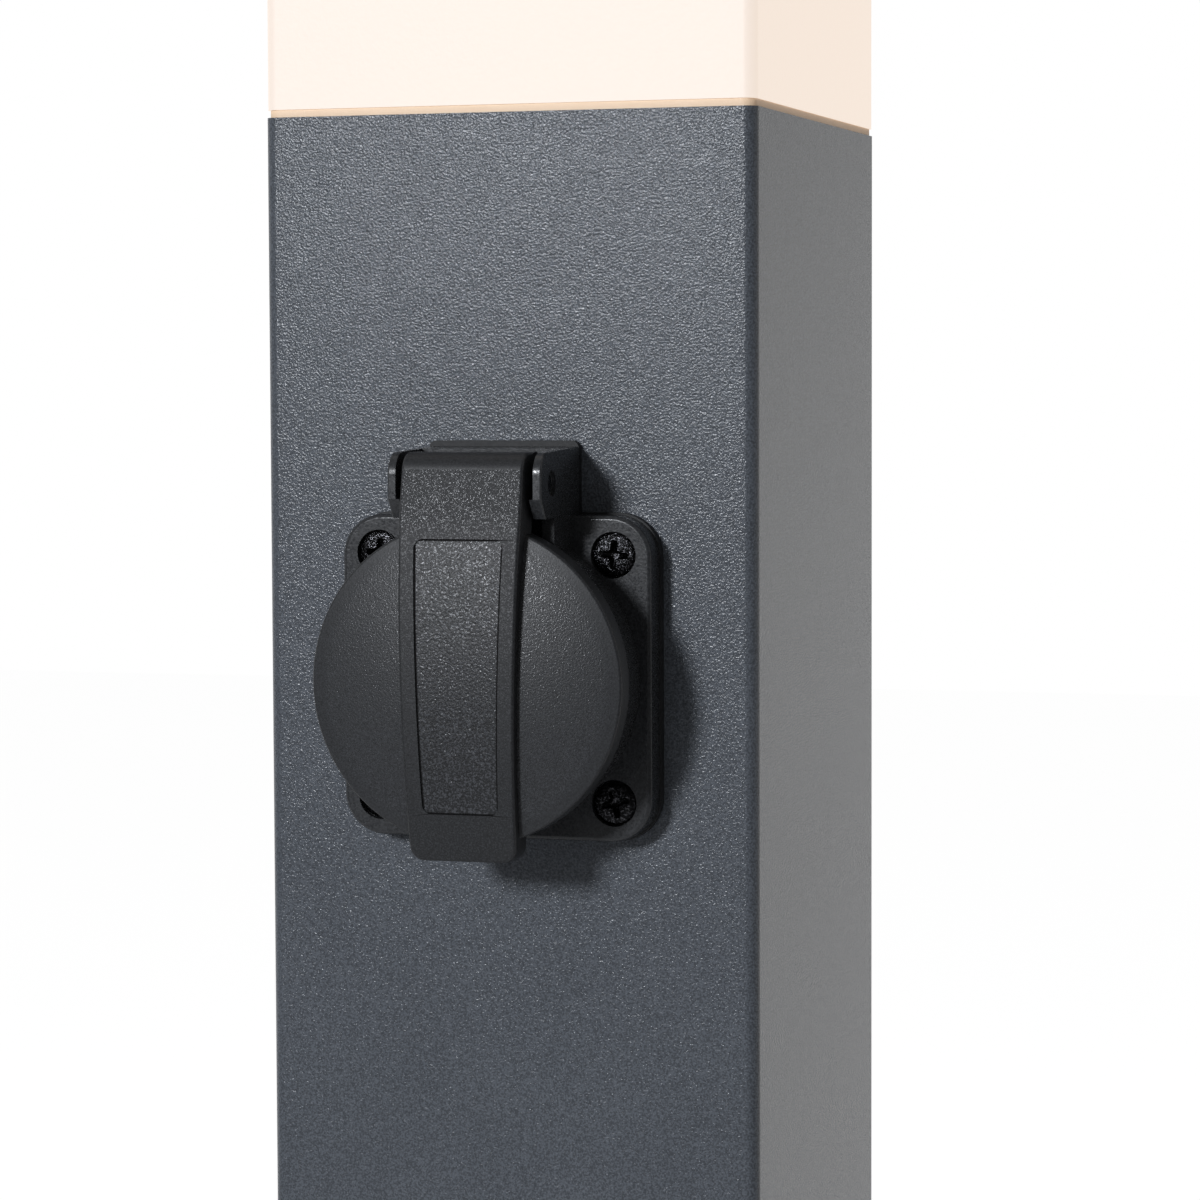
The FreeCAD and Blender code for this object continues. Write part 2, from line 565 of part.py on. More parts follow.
def cut_rods(body, places, diameter, low, length, name="holes"):
    """Equal upright round holes, from low upwards."""
    sketch = sketch_on(body, "XY_Plane", name, low)
    for across, up in places:
        draw_circle(sketch, across, up, diameter)
    return cut(body, sketch, length, forward=True)


def stand_at(body, across="0", back="0", up="0"):
    """Puts the body upright at three expressions."""
    for axis, text in zip("xyz", (across, back, up)):
        if text != "0":
            tie(body, "Placement.Base." + axis, text)


def hang_on_front(body):
    """Turns the body to the post's front: its Z points out of the post, its Y up."""
    body.Placement = Placement(Vector(0, 0, 0), Rotation(Vector(1, 0, 0), 90))
    tie(body, "Placement.Base.y", "-" + POST_HALF)
    tie(body, "Placement.Base.z", SOCKET_HEIGHT)


def hang_on_bracket(body, up):
    """Turns the body to the bracket's front: its Z points to the front, its Y up."""
    body.Placement = Placement(Vector(0, 0, 0), Rotation(Vector(1, 0, 0), 90))
    tie(body, "Placement.Base.y", "bracket_back - bracket_thick")
    tie(body, "Placement.Base.z", up)


# Base and post
def make_base_plate():
    body = new_body("base_plate")
    outline = sketch_on(body, "XY_Plane", "outline")
    draw_rectangle(outline, "-base_side / 2", "base_side / 2", "-base_side / 2", "base_side / 2")
    pad(body, outline, "base_thick")
    round_edges(body, is_upright, "base_corner")
    top = value_of("base_thick")
    bevel_edges(body, lambda box: close(box.ZMin, top) and close(box.ZMax, top), "base_bevel")
    whole = "base_thick + through"
    cut_rods(body, four_corners("(ground_pitch / 2)"), "ground_hole", "0", whole, "ground_holes")
    cut_rods(body, [("0", "0")], "entry_hole", "0", whole, "entry")
    cut_rods(body, four_corners(PORT_PLACE), "foot_screw_hole", "0", whole, "foot_holes")
    head = value_of("foot_screw_hole") / 2
    place = value_of(PORT_PLACE)

    def is_mouth(box):
        at_place = close(abs(box.Center.x), place) and close(abs(box.Center.y), place)
        return at_place and close(box.ZMax, 0) and close(box.XLength, 2 * head)
    bevel_edges(body, is_mouth, "(foot_screw_head - foot_screw_hole) / 2")
    places = [("%d * bracket_screw_pitch / 2" % side, BRACKET_SCREW_BACK) for side in (-1, 1)]
    depth = "bracket_screw_depth + through"
    low = "base_thick - bracket_screw_depth"
    cut_rods(body, places, "bracket_screw + screw_play", low, depth, "threads")
    return body


def make_foot_screws():
    body = new_body("foot_screws")
    places = four_corners(PORT_PLACE)
    shank = "(port_hole - screw_play)"
    cone = "((foot_screw_head - screw_play - %s) / 2 - screw_play)" % shank
    add_rods(body, places, shank, "0", "foot_screw_length")
    add_rods(body, places, "foot_screw_head - screw_play", "0", cone + " + screw_play / 2", "heads")
    top = value_of(cone + " + screw_play / 2")
    head = value_of("foot_screw_head - screw_play")
    bevel_edges(body, lambda box: close(box.ZMin, top) and close(box.XLength, head), cone)
    return body


def make_cable_grommet():
    body = new_body("cable_grommet")
    bore = "entry_bore / 2"
    neck = "(entry_hole - screw_play) / 2"
    seat = "base_thick"
    collar = "entry_bore / 2 + entry_collar_wall"
    turn(body, [
        (bore, "screw_play"),
        (neck, "screw_play"),
        (neck, seat),
        ("entry_flange / 2", seat),
        ("entry_flange / 2", seat + " + entry_flange_thick"),
        (collar + " + entry_collar_wall", seat + " + entry_flange_thick"),
        (collar, seat + " + entry_collar_rise"),
        (bore, seat + " + entry_collar_rise"),
    ])
    return body


def make_post_profile():
    body = new_body("post_profile")
    stand_at(body, up="base_thick")
    outer = sketch_on(body, "XY_Plane", "outline")
    draw_rectangle(outer, "-" + POST_HALF, POST_HALF, "-" + POST_HALF, POST_HALF)
    pad(body, outer, "post_length")
    round_edges(body, is_upright, "post_corner")
    inner = sketch_on(body, "XY_Plane", "hollow")
    hollow = "(post_side / 2 - post_wall)"
    draw_rectangle(inner, "-" + hollow, hollow, "-" + hollow, hollow)
    cut(body, inner, "post_length", forward=True)
    ports = sketch_on(body, "XY_Plane", "ports")
    reach = "(post_side / 2 - port_inset - port_hole / 2 - port_wall)"
    buried = "(post_side / 2 - post_wall / 2)"
    for side in (-1, 1):
        for rise in (-1, 1):
            draw_rectangle(ports, "%d * %s" % (side, reach), "%d * %s" % (side, buried),
                           "%d * %s" % (rise, reach), "%d * %s" % (rise, buried))
    pad(body, ports, "post_length")
    inside = value_of(reach)

    def is_port_corner(box):
        return is_upright(box) and close(abs(box.Center.x), inside) and close(abs(box.Center.y), inside)
    round_edges(body, is_port_corner, "port_hole / 2 + port_wall / 2")
    cut_rods(body, four_corners(PORT_PLACE), "port_hole", "0", "post_length", "port_holes")
    slits = sketch_on(body, "XY_Plane", "slits")
    half = "(port_slit / sqrt(8))"
    depth = "(port_hole / 2 + port_wall + through)"
    for side in (-1, 1):
        for rise in (-1, 1):
            draw_polygon(slits, [
                ("%d * (%s + %s)" % (side, PORT_PLACE, half), "%d * (%s - %s)" % (rise, PORT_PLACE, half)),
                ("%d * (%s - %s)" % (side, PORT_PLACE, half), "%d * (%s + %s)" % (rise, PORT_PLACE, half)),
                ("%d * (%s - %s - %s)" % (side, PORT_PLACE, half, depth),
                 "%d * (%s + %s - %s)" % (rise, PORT_PLACE, half, depth)),
                ("%d * (%s + %s - %s)" % (side, PORT_PLACE, half, depth),
                 "%d * (%s - %s - %s)" % (rise, PORT_PLACE, half, depth)),
            ])
    cut(body, slits, "post_length", forward=True)
    window = sketch_on(body, "XZ_Plane", "window", POST_HALF)
    centre = "(post_length - socket_drop)"
    draw_circle(window, "0", centre, "sleeve_outer + cutout_play")
    for across, up in four_corners("(screw_pitch / 2)"):
        draw_circle(window, across, "%s + %s" % (centre, up), "flange_screw_hole")
    cut(body, window, "post_wall + through")
    return body


# Terminals at the foot of the post
BRACKET_SCREW_BACK = "((bracket_front + bracket_back - bracket_thick) / 2)"
BLOCK_SCREWS = [("%d * block_screw_pitch / 2" % side, "block_height / 2") for side in (-1, 1)]
CLAMP_SCREWS = [("%d * clamp_screw_pitch / 2" % side, "clamp_height / 2") for side in (-1, 1)]


def make_terminal_bracket():
    body = new_body("terminal_bracket")
    stand_at(body, up="base_thick")
    bend = sketch_on(body, "YZ_Plane", "bend")
    draw_polygon(bend, [
        ("bracket_front", "0"),
        ("bracket_back", "0"),
        ("bracket_back", "bracket_rise"),
        ("bracket_back - bracket_thick", "bracket_rise"),
        ("bracket_back - bracket_thick", "bracket_thick"),
        ("bracket_front", "bracket_thick"),
    ])
    pad(body, bend, "bracket_width", midplane=True)
    back = value_of("bracket_back")
    sheet = value_of("bracket_thick")
    round_edges(body, lambda box: close(box.YMin, back) and close(box.ZMax, 0) and box.XLength > 1,
                "bracket_bend + bracket_thick")
    round_edges(body,
                lambda box: close(box.YMax, back - sheet) and close(box.ZMax, sheet) and box.XLength > 1,
                "bracket_bend")
    places = [("%d * bracket_screw_pitch / 2" % side, BRACKET_SCREW_BACK) for side in (-1, 1)]
    cut_rods(body, places, "bracket_screw + screw_play", "0", "bracket_thick + through", "foot_holes")
    holes = sketch_on(body, "XZ_Plane", "holes", "-bracket_back")
    for across, up in BLOCK_SCREWS:
        draw_circle(holes, across, "block_rise + " + up, "clamp_screw + screw_play")
    for across, up in CLAMP_SCREWS:
        draw_circle(holes, across, "clamp_rise + " + up, "clamp_screw + screw_play")
    draw_circle(holes, "earth_bolt_side", "earth_bolt_rise", "earth_bolt + screw_play")
    cut(body, holes, "bracket_thick + through", forward=True)
    return body


def make_bracket_screws():
    body = new_body("bracket_screws")
    stand_at(body, up="base_thick + bracket_thick")
    places = [("%d * bracket_screw_pitch / 2" % side, BRACKET_SCREW_BACK) for side in (-1, 1)]
    depth = "(bracket_thick + bracket_screw_depth - screw_play)"
    add_rods(body, places, "bracket_screw", "-" + depth, depth + " + bracket_screw / 4")
    add_rods(body, places, "bracket_screw_head", "0", "bracket_screw / 2", "heads")
    return body


def make_terminal_block():
    body = new_body("terminal_block")
    stand_at(body, back="bracket_back - bracket_thick", up=BLOCK_BOTTOM)
    base = sketch_on(body, "XY_Plane", "base")
    draw_rectangle(base, "-block_width / 2", "block_width / 2", "-block_base_depth", "0")
    pad(body, base, "block_height")
    poles = sketch_on(body, "XY_Plane", "poles")
    for step in (-1, 0, 1):
        draw_rectangle(poles, "%d * pole_pitch - pole_width / 2" % step,
                       "%d * pole_pitch + pole_width / 2" % step, "-pole_depth", "-block_base_depth / 2")
    pad(body, poles, "block_height")
    front = -value_of("pole_depth")
    round_edges(body, lambda box: is_upright(box) and close(box.YMin, front), "pole_corner")
    cores = [("%d * pole_pitch" % step, "-core_depth") for step in (-1, 0, 1)]
    cut_rods(body, cores, "core_outer + screw_play", "0", "block_height", "core_holes")
    wells = sketch_on(body, "XZ_Plane", "wells", "pole_depth")
    for step in (-1, 0, 1):
        for share in (0.25, 0.75):
            draw_circle(wells, "%d * pole_pitch" % step, "block_height * %.2f" % share, "clamp_well")
    cut(body, wells, "pole_depth - core_depth")
    ears = sketch_on(body, "XZ_Plane", "ears", "block_base_depth")
    for across, up in BLOCK_SCREWS:
        draw_circle(ears, across, up, "clamp_screw + screw_play")
    cut(body, ears, "block_base_depth + through")
    return body


def make_terminal_cores():
    body = new_body("terminal_cores")
    stand_at(body, back="bracket_back - bracket_thick", up=BLOCK_BOTTOM)
    places = [("%d * pole_pitch" % step, "-core_depth") for step in (-1, 0, 1)]
    add_rods(body, places, "core_outer", "core_inset", "block_height - core_inset * 2", "sleeves")
    cut_rods(body, places, "core_bore", "0", "block_height", "bores")
    cross = sketch_on(body, "XZ_Plane", "cross", "core_depth + core_outer")
    for step in (-1, 0, 1):
        for share in (0.25, 0.75):
            draw_circle(cross, "%d * pole_pitch" % step, "block_height * %.2f" % share,
                        "clamp_screw + screw_play")
    cut(body, cross, "core_outer")
    return body


def make_terminal_screws():
    body = new_body("terminal_screws")
    hang_on_bracket(body, BLOCK_BOTTOM)
    places = []
    for step in (-1, 0, 1):
        for share in (0.25, 0.75):
            places.append(("%d * pole_pitch" % step, "block_height * %.2f" % share))
    low = "core_depth + wire_diameter / 2"
    add_rods(body, places, "clamp_screw", low, "pole_depth - clamp_screw_drop - " + low.replace("+", "-"))
    return body


def make_small_screws(name, places, seat, up):
    """Pan head screws through the bracket's sheet: places on its front face, heads at the seat."""
    body = new_body(name)
    hang_on_bracket(body, up)
    add_rods(body, places, "clamp_screw", "-bracket_thick - through",
             seat + " + bracket_thick + through + screw_bite")
    add_rods(body, places, "clamp_screw_head", seat, "clamp_screw / 2", "heads")
    return body


def make_cable_clamp():
    body = new_body("cable_clamp")
    stand_at(body, back="bracket_back - bracket_thick", up="base_thick + clamp_rise")
    arch = sketch_on(body, "XY_Plane", "arch")
    foot = "(clamp_screw_pitch / 2 + clamp_foot)"
    outside = "(clamp_span / 2 + clamp_thick)"
    inside = "(clamp_span / 2)"
    deep = "(clamp_depth + clamp_thick)"
    draw_polygon(arch, [
        ("-" + foot, "0"), ("-" + foot, "-clamp_thick"), ("-" + outside, "-clamp_thick"),
        ("-" + outside, "-" + deep), (outside, "-" + deep), (outside, "-clamp_thick"),
        (foot, "-clamp_thick"), (foot, "0"), (inside, "0"), (inside, "-clamp_depth"),
        ("-" + inside, "-clamp_depth"), ("-" + inside, "0"),
    ])
    pad(body, arch, "clamp_height")
    low = -value_of(deep)
    inner = -value_of("clamp_depth")
    round_edges(body, lambda box: is_upright(box) and close(box.YMin, low), "clamp_span / 2")
    round_edges(body, lambda box: is_upright(box) and close(box.YMin, inner), "clamp_span / 2 - clamp_thick")
    feet = sketch_on(body, "XZ_Plane", "feet", "clamp_thick")
    for across, up in CLAMP_SCREWS:
        draw_circle(feet, across, up, "clamp_screw + screw_play")
    cut(body, feet, "clamp_thick + through")
    return body


EARTH_PLACE = ("earth_bolt_side", "0")


def make_earth_bolt():
    body = new_body("earth_bolt")
    hang_on_bracket(body, "base_thick + earth_bolt_rise")
    head = sketch_on(body, "XY_Plane", "head", "-bracket_thick - earth_hex_thick")
    draw_hexagon(head, *EARTH_PLACE, "earth_hex")
    pad(body, head, "earth_hex_thick")
    add_rods(body, [EARTH_PLACE], "earth_bolt", "-bracket_thick - through",
             "bracket_thick + through + earth_bolt_length")
    return body


def make_earth_lug():
    """The ring of the earth lead between washer and nut, with its crimped barrel."""
    body = new_body("earth_lug")
    hang_on_bracket(body, "base_thick + earth_bolt_rise")
    seat = "washer_thick"
    add_rods(body, [EARTH_PLACE], "lug_ring", seat, "lug_thick", "ring")
    tongue = sketch_on(body, "XY_Plane", "tongue", seat)
    draw_rectangle(tongue, "earth_bolt_side - lug_barrel / 2", "earth_bolt_side + lug_barrel / 2",
                   "-lug_length", "0")
    pad(body, tongue, "lug_thick")
    barrel = sketch_on(body, "XZ_Plane", "barrel", "lug_length")
    draw_circle(barrel, "earth_bolt_side", seat + " + lug_barrel / 2", "lug_barrel")
    pad(body, barrel, "lug_length - lug_ring / 2 - lug_neck", back=True)
    bore = sketch_on(body, "XZ_Plane", "bore", "lug_length")
    draw_circle(bore, "earth_bolt_side", seat + " + lug_barrel / 2", "wire_diameter + screw_play")
    cut(body, bore, "lug_length - lug_ring / 2 - lug_neck")
    cut_rods(body, [EARTH_PLACE], "earth_bolt + screw_play", seat, "lug_thick", "eye")
    return body


def make_earth_nuts():
    body = new_body("earth_nuts")
    hang_on_bracket(body, "base_thick + earth_bolt_rise")
    seat = "washer_thick + lug_thick"
    add_rods(body, [EARTH_PLACE], "washer_side", "0", "washer_thick", "washer")
    for low in (seat, seat + " + earth_hex_thick + screw_play"):
        nut = sketch_on(body, "XY_Plane", "nut", low)
        draw_hexagon(nut, *EARTH_PLACE, "earth_hex")
        pad(body, nut, "earth_hex_thick")
    cut_rods(body, [EARTH_PLACE], "earth_bolt + screw_play", "0", "earth_bolt_length", "thread")
    return body


# Socket housing and its inside, drawn with Z out of the post and Y up
FLANGE_SCREWS = four_corners("(screw_pitch / 2)")
CONTACTS = [("%d * pin_pitch / 2" % side, "0") for side in (-1, 1)]
COVER_SCREWS = [("%d * cover_screw_place" % side, "%d * cover_screw_place" % side) for side in (-1, 1)]


def draw_clip_slots(sketch, play):
    for side in (-1, 1):
        draw_rectangle(sketch, "-(clip_width / 2 + %s)" % play, "clip_width / 2 + %s" % play,
                       "%d * (clip_place - %s)" % (side, play),
                       "%d * (clip_place + clip_thick + %s)" % (side, play))


def make_socket_gasket():
    body = new_body("socket_gasket")
    hang_on_front(body)
    outline = sketch_on(body, "XY_Plane", "outline")
    half = "(gasket_side / 2)"
    draw_rectangle(outline, "-" + half, half, "-" + half, half)
    pad(body, outline, "gasket_thick")
    round_edges(body, is_upright, "gasket_corner")
    tab = sketch_on(body, "XY_Plane", "tab")
    draw_rectangle(tab, "-tab_half", "tab_half", half + " - gasket_corner", "tab_top")
    pad(body, tab, "gasket_thick")
    top = value_of("tab_top")
    round_edges(body, lambda box: is_upright(box) and close(box.YMax, top), "tab_corner")
    thick = "gasket_thick"
    cut_rods(body, [("0", "0")], "sleeve_outer + cutout_play", "0", thick, "bore")
    cut_rods(body, FLANGE_SCREWS, "flange_screw_hole", "0", thick, "screw_holes")
    return body


def make_socket_housing():
    body = new_body("socket_housing")
    hang_on_front(body)
    half = "(flange_side / 2)"
    flange = sketch_on(body, "XY_Plane", "flange", "gasket_thick")
    draw_rectangle(flange, "-" + half, half, "-" + half, half)
    pad(body, flange, "flange_thick")
    round_edges(body, is_upright, "flange_corner")
    front = value_of(FLANGE_FRONT)
    round_edges(body, lambda box: close(box.ZMin, front) and close(box.ZMax, front), "flange_edge")
    hinge = sketch_on(body, "YZ_Plane", "hinge")
    draw_polygon(hinge, [
        ("flange_side / 2 - flange_corner", "gasket_thick"),
        ("block_top_back", "gasket_thick"),
        ("block_top_front", "ear_front"),
        ("ear_heel", "ear_front"),
        ("ear_toe", "ear_toe_front"),
        ("ear_toe", "block_front"),
        ("flange_side / 2 - flange_corner", "block_front"),
    ])
    pad(body, hinge, "block_half * 2", midplane=True)
    ear = value_of("ear_front")
    high = value_of("block_top_front")
    round_edges(body, lambda box: close(box.ZMin, ear) and close(box.ZMax, ear) and close(box.YMin, high)
                and box.XLength > 1, "ear_round")
    side = value_of("block_half")
    toe = value_of("ear_toe_front")

    def is_ear_edge(box):
        return close(abs(box.Center.x), side) and box.XLength < 0.001 and box.ZMin > toe - 0.001
    round_edges(body, is_ear_edge, "ear_edge")
    for low, half_width in (("flange_side / 2 - flange_corner - through", EAR_INNER + " - ear_step"),
                            ("ear_heel", EAR_INNER)):
        room = sketch_on(body, "YZ_Plane", "hinge_room")
        draw_rectangle(room, low, "block_top_back + through", "hinge_wall_front", "ear_front + through")
        cut(body, room, "(%s) * 2" % half_width, midplane=True)
    cut_rods(body, FLANGE_SCREWS, "flange_recess", RECESS_FLOOR, "flange_recess_depth + through", "recesses")
    collar = "collar_front - gasket_thick"
    add_rods(body, [("0", "0")], "collar_outer", "gasket_thick", collar, "collar")
    add_rods(body, [("0", "0")], "lip_outer", "gasket_thick", "lip_front - gasket_thick", "lip")
    sleeve = sketch_on(body, "XY_Plane", "sleeve", "-sleeve_back")
    draw_circle(sleeve, "0", "0", "sleeve_outer")
    pad(body, sleeve, "sleeve_back + gasket_thick + through")
    cut_rods(body, [("0", "0")], "well_bore", WELL_FLOOR, "well_depth + through", "well")
    cut_rods(body, [("0", "0")], "sleeve_bore", "-sleeve_back - through",
             "sleeve_back + through + " + WELL_FLOOR, "rear")
    cut_rods(body, FLANGE_SCREWS, "flange_screw_hole", "gasket_thick - through",
             "flange_thick + through * 2", "screws")
    ribs = sketch_on(body, "XY_Plane", "ribs", WELL_FLOOR)
    for side in (-1, 1):
        draw_rectangle(ribs, "%d * (well_bore / 2 - rib_height)" % side,
                       "%d * (well_bore / 2 + (lip_outer - well_bore) / 4)" % side,
                       "-rib_width / 2", "rib_width / 2")
    pad(body, ribs, "well_depth - rib_drop")
    cut_rods(body, [(SPRING_LEFT, "axis_rise - spring_mean / 2")], "spring_hole",
             "hinge_wall_front - spring_hole_depth", "spring_hole_depth + through", "leg_hole")
    bore = sketch_on(body, "YZ_Plane", "pin_bore")
    draw_circle(bore, "axis_rise", "axis_front", "pin_diameter + screw_play / 2")
    cut(body, bore, "block_half * 2 + through", midplane=True)
    for offset, forward in (("block_half - pin_recess", True), ("-(block_half - pin_recess)", False)):
        mouth = sketch_on(body, "YZ_Plane", "pin_mouth", offset)
        draw_circle(mouth, "axis_rise", "axis_front", "pin_mouth")
        cut(body, mouth, "pin_recess + through", forward=forward)
    return body


def make_socket_floor():
    body = new_body("socket_floor")
    hang_on_front(body)
    add_rods(body, [("0", "0")], INSERT_RADIUS + " * 2", FLOOR_BACK, "floor_thick", "plate")
    cut_rods(body, CONTACTS, "pin_hole", FLOOR_BACK, "floor_thick + through", "pin_holes")
    floor = value_of(WELL_FLOOR)
    hole = value_of("pin_hole")
    bevel_edges(body, lambda box: close(box.ZMin, floor) and close(box.XLength, hole), "pin_hole / 10")
    slots = sketch_on(body, "XY_Plane", "slots", FLOOR_BACK)
    draw_clip_slots(slots, "slot_play")
    cut(body, slots, "floor_thick + through", forward=True)
    return body


def make_contact_carrier():
    body = new_body("contact_carrier")
    hang_on_front(body)
    add_rods(body, [("0", "0")], INSERT_RADIUS + " * 2", CARRIER_BACK, "carrier_depth", "block")
    cut_rods(body, [("0", "0")], "chamber_bore", CHAMBER_BACK, "chamber_depth + through", "chamber")
    add_rods(body, [("0", "0")], "hub_diameter", CHAMBER_BACK + " - through",
             "chamber_depth + through", "hub")
    cut_rods(body, CONTACTS, "contact_outer + screw_play * 2", CARRIER_BACK, "carrier_depth", "sleeves")
    rooms = sketch_on(body, "XY_Plane", "rooms", CARRIER_BACK)
    side = "(terminal_side / 2 + screw_play)"
    for across, up in CONTACTS:
        draw_rectangle(rooms, "%s - %s" % (across, side), "%s + %s" % (across, side), "-" + side, side)
    cut(body, rooms, TERMINAL_FRONT + " - " + CARRIER_BACK + " + screw_play", forward=True)
    slots = sketch_on(body, "XY_Plane", "slots", CARRIER_BACK)
    draw_clip_slots(slots, "slot_play")
    cut(body, slots, "carrier_depth + through", forward=True)
    cut_rods(body, COVER_SCREWS, "cover_screw + screw_play", CARRIER_BACK, "cover_screw_depth", "threads")
    return body


TERMINAL_FRONT = "(lip_front - well_depth - floor_thick - chamber_depth - contact_gap - contact_length)"
TERMINAL_BACK = ("(lip_front - well_depth - floor_thick - chamber_depth - contact_gap - contact_length"
                 " - terminal_length)")


def make_pin_contacts():
    body = new_body("pin_contacts")
    hang_on_front(body)
    add_rods(body, CONTACTS, "contact_outer", TERMINAL_FRONT, "contact_length", "sleeves")
    blocks = sketch_on(body, "XY_Plane", "blocks", TERMINAL_BACK)
    for across, up in CONTACTS:
        draw_rectangle(blocks, across + " - terminal_side / 2", across + " + terminal_side / 2",
                       "-terminal_side / 2", "terminal_side / 2")
    pad(body, blocks, "terminal_length")
    cut_rods(body, CONTACTS, "contact_bore", TERMINAL_FRONT, "contact_length + through", "bores")
    slits = sketch_on(body, "XY_Plane", "slits", TERMINAL_FRONT + " + contact_length / 4")
    for across, up in CONTACTS:
        draw_rectangle(slits, across + " - contact_slit / 2", across + " + contact_slit / 2",
                       "-contact_outer", "contact_outer")
    cut(body, slits, "contact_length", forward=True)
    cut_rods(body, CONTACTS, "terminal_bore", TERMINAL_BACK, "terminal_length * 2 / 3", "wire_holes")
    cut_terminal_threads(body, CONTACTS, TERMINAL_BACK + " + terminal_screw_place")
    return body


def cut_terminal_threads(body, places, depth):
    """Holes for the clamping screws, from above into each terminal."""
    threads = sketch_on(body, "XZ_Plane", "threads")
    for across, up in places:
        draw_circle(threads, across, depth, "terminal_screw + screw_play")
    cut(body, threads, "terminal_side", forward=False)


def make_earth_clip():
    body = new_body("earth_clip")
    hang_on_front(body)
    strip = sketch_on(body, "YZ_Plane", "strip")
    back = CARRIER_BACK + " - screw_play"
    tip = "lip_front - clip_tip"
    inner = "clip_place"
    outer = "clip_place + clip_thick"
    lean = "clip_place - clip_thick"
    draw_polygon(strip, [
        ("-(%s)" % outer, back + " - clip_thick"), (outer, back + " - clip_thick"),
        (outer, WELL_FLOOR), (outer, tip + " - clip_lead"), (lean + " + clip_thick", tip + " - clip_flare"),
        (outer, tip), (inner, tip), (lean, tip + " - clip_flare"), (inner, tip + " - clip_lead"),
        (inner, back),
        ("-" + inner, back), ("-" + inner, tip + " - clip_lead"), ("-(%s)" % lean, tip + " - clip_flare"),
        ("-" + inner, tip), ("-(%s)" % outer, tip), ("-(%s + clip_thick)" % lean, tip + " - clip_flare"),
        ("-(%s)" % outer, tip + " - clip_lead"),
    ])
    pad(body, strip, "clip_width", midplane=True)
    block = sketch_on(body, "XY_Plane", "block", back + " - clip_thick")
    draw_rectangle(block, "-terminal_side / 2", "terminal_side / 2",
                   "-terminal_side / 2", "terminal_side / 2")
    pad(body, block, back + " - clip_thick - " + TERMINAL_BACK, back=True)
    cut_rods(body, [("0", "0")], "terminal_bore", TERMINAL_BACK, "terminal_length / 2", "wire_hole")
    cut_terminal_threads(body, [("0", "0")], TERMINAL_BACK + " + terminal_screw_place")
    return body


def make_contact_screws():
    """Three clamping screws that stand in the terminals from above."""
    body = new_body("contact_screws")
    body.Placement = Placement()
    tie(body, "Placement.Base.y", "-" + POST_HALF + " - (%s + terminal_screw_place)" % TERMINAL_BACK)
    tie(body, "Placement.Base.z", SOCKET_HEIGHT)
    places = CONTACTS + [("0", "0")]
    low = "wire_diameter / 2"
    add_rods(body, places, "terminal_screw", low, "terminal_side / 2 + terminal_screw_reach - " + low)
    add_rods(body, places, "terminal_screw_head", "terminal_side / 2 + terminal_screw_gap",
             "terminal_screw / 2", "heads")
    return body


def make_rear_cover():
    body = new_body("rear_cover")
    hang_on_front(body)
    low = "-sleeve_back - cover_thick"
    add_rods(body, [("0", "0")], "sleeve_outer", low, "cover_thick", "disc")
    cut_rods(body, CONTACTS + [("0", "0")], "wire_diameter + wire_play", low, "cover_thick", "wire_holes")
    cut_rods(body, COVER_SCREWS, "cover_screw + screw_play", low, "cover_thick", "screw_holes")
    return body


def make_cover_screws():
    body = new_body("cover_screws")
    hang_on_front(body)
    back = "-sleeve_back - cover_thick"
    length = "sleeve_back + cover_thick + %s + cover_screw_depth - hole_end_play" % CARRIER_BACK
    add_rods(body, COVER_SCREWS, "cover_screw", back + " - screw_bite", length + " + screw_bite")
    add_rods(body, COVER_SCREWS, "cover_screw_head", back + " - cover_screw_head_thick",
             "cover_screw_head_thick", "heads")
    return body


def make_child_shutter():
    """A disc that turns on the carrier's pivot and hides the contacts at rest."""
    body = new_body("child_shutter")
    hang_on_front(body)
    low = "(%s + (chamber_depth - shutter_thick) / 2)" % CHAMBER_BACK
    add_rods(body, [("0", "0")], "shutter_radius * 2", low, "shutter_thick", "disc")
    cut_rods(body, [("0", "0")], "hub_diameter + hub_play", low, "shutter_thick", "pivot")
    places = []
    for side in (-1, 1):
        places.append(("%d * pin_pitch / 2 * cos(shutter_turn)" % side,
                       "%d * pin_pitch / 2 * sin(shutter_turn)" % side))
    cut_rods(body, places, "shutter_hole", low, "shutter_thick", "windows")
    return body


def make_flange_screws():
    body = new_body("socket_screws")
    hang_on_front(body)
    tail = "post_wall + flange_nut_thick + flange_screw_tail"
    add_rods(body, FLANGE_SCREWS, "flange_screw", "-(%s)" % tail, tail + " + " + RECESS_FLOOR)
    add_rods(body, FLANGE_SCREWS, "flange_screw_head", RECESS_FLOOR, "flange_screw_head_thick", "heads")
    top = value_of(RECESS_FLOOR + " + flange_screw_head_thick")
    round_edges(body, lambda box: close(box.ZMin, top), "flange_screw_head_thick / 2")
    return body


def make_flange_nuts():
    body = new_body("socket_nuts")
    hang_on_front(body)
    nuts = sketch_on(body, "XY_Plane", "nuts", "-post_wall")
    for across, up in FLANGE_SCREWS:
        draw_hexagon(nuts, across, up, "flange_nut_flats")
    pad(body, nuts, "flange_nut_thick", back=True)
    cut_rods(body, FLANGE_SCREWS, "flange_screw + screw_play", "-post_wall - flange_nut_thick",
             "flange_nut_thick", "threads")
    return body


# Lid, hinge pin and spring
def make_hinge_pin():
    body = new_body("hinge_pin")
    hang_on_front(body)
    pin = sketch_on(body, "YZ_Plane", "pin")
    draw_circle(pin, "axis_rise", "axis_front", "pin_diameter")
    pad(body, pin, "(block_half - pin_recess) * 2", midplane=True)
    return body


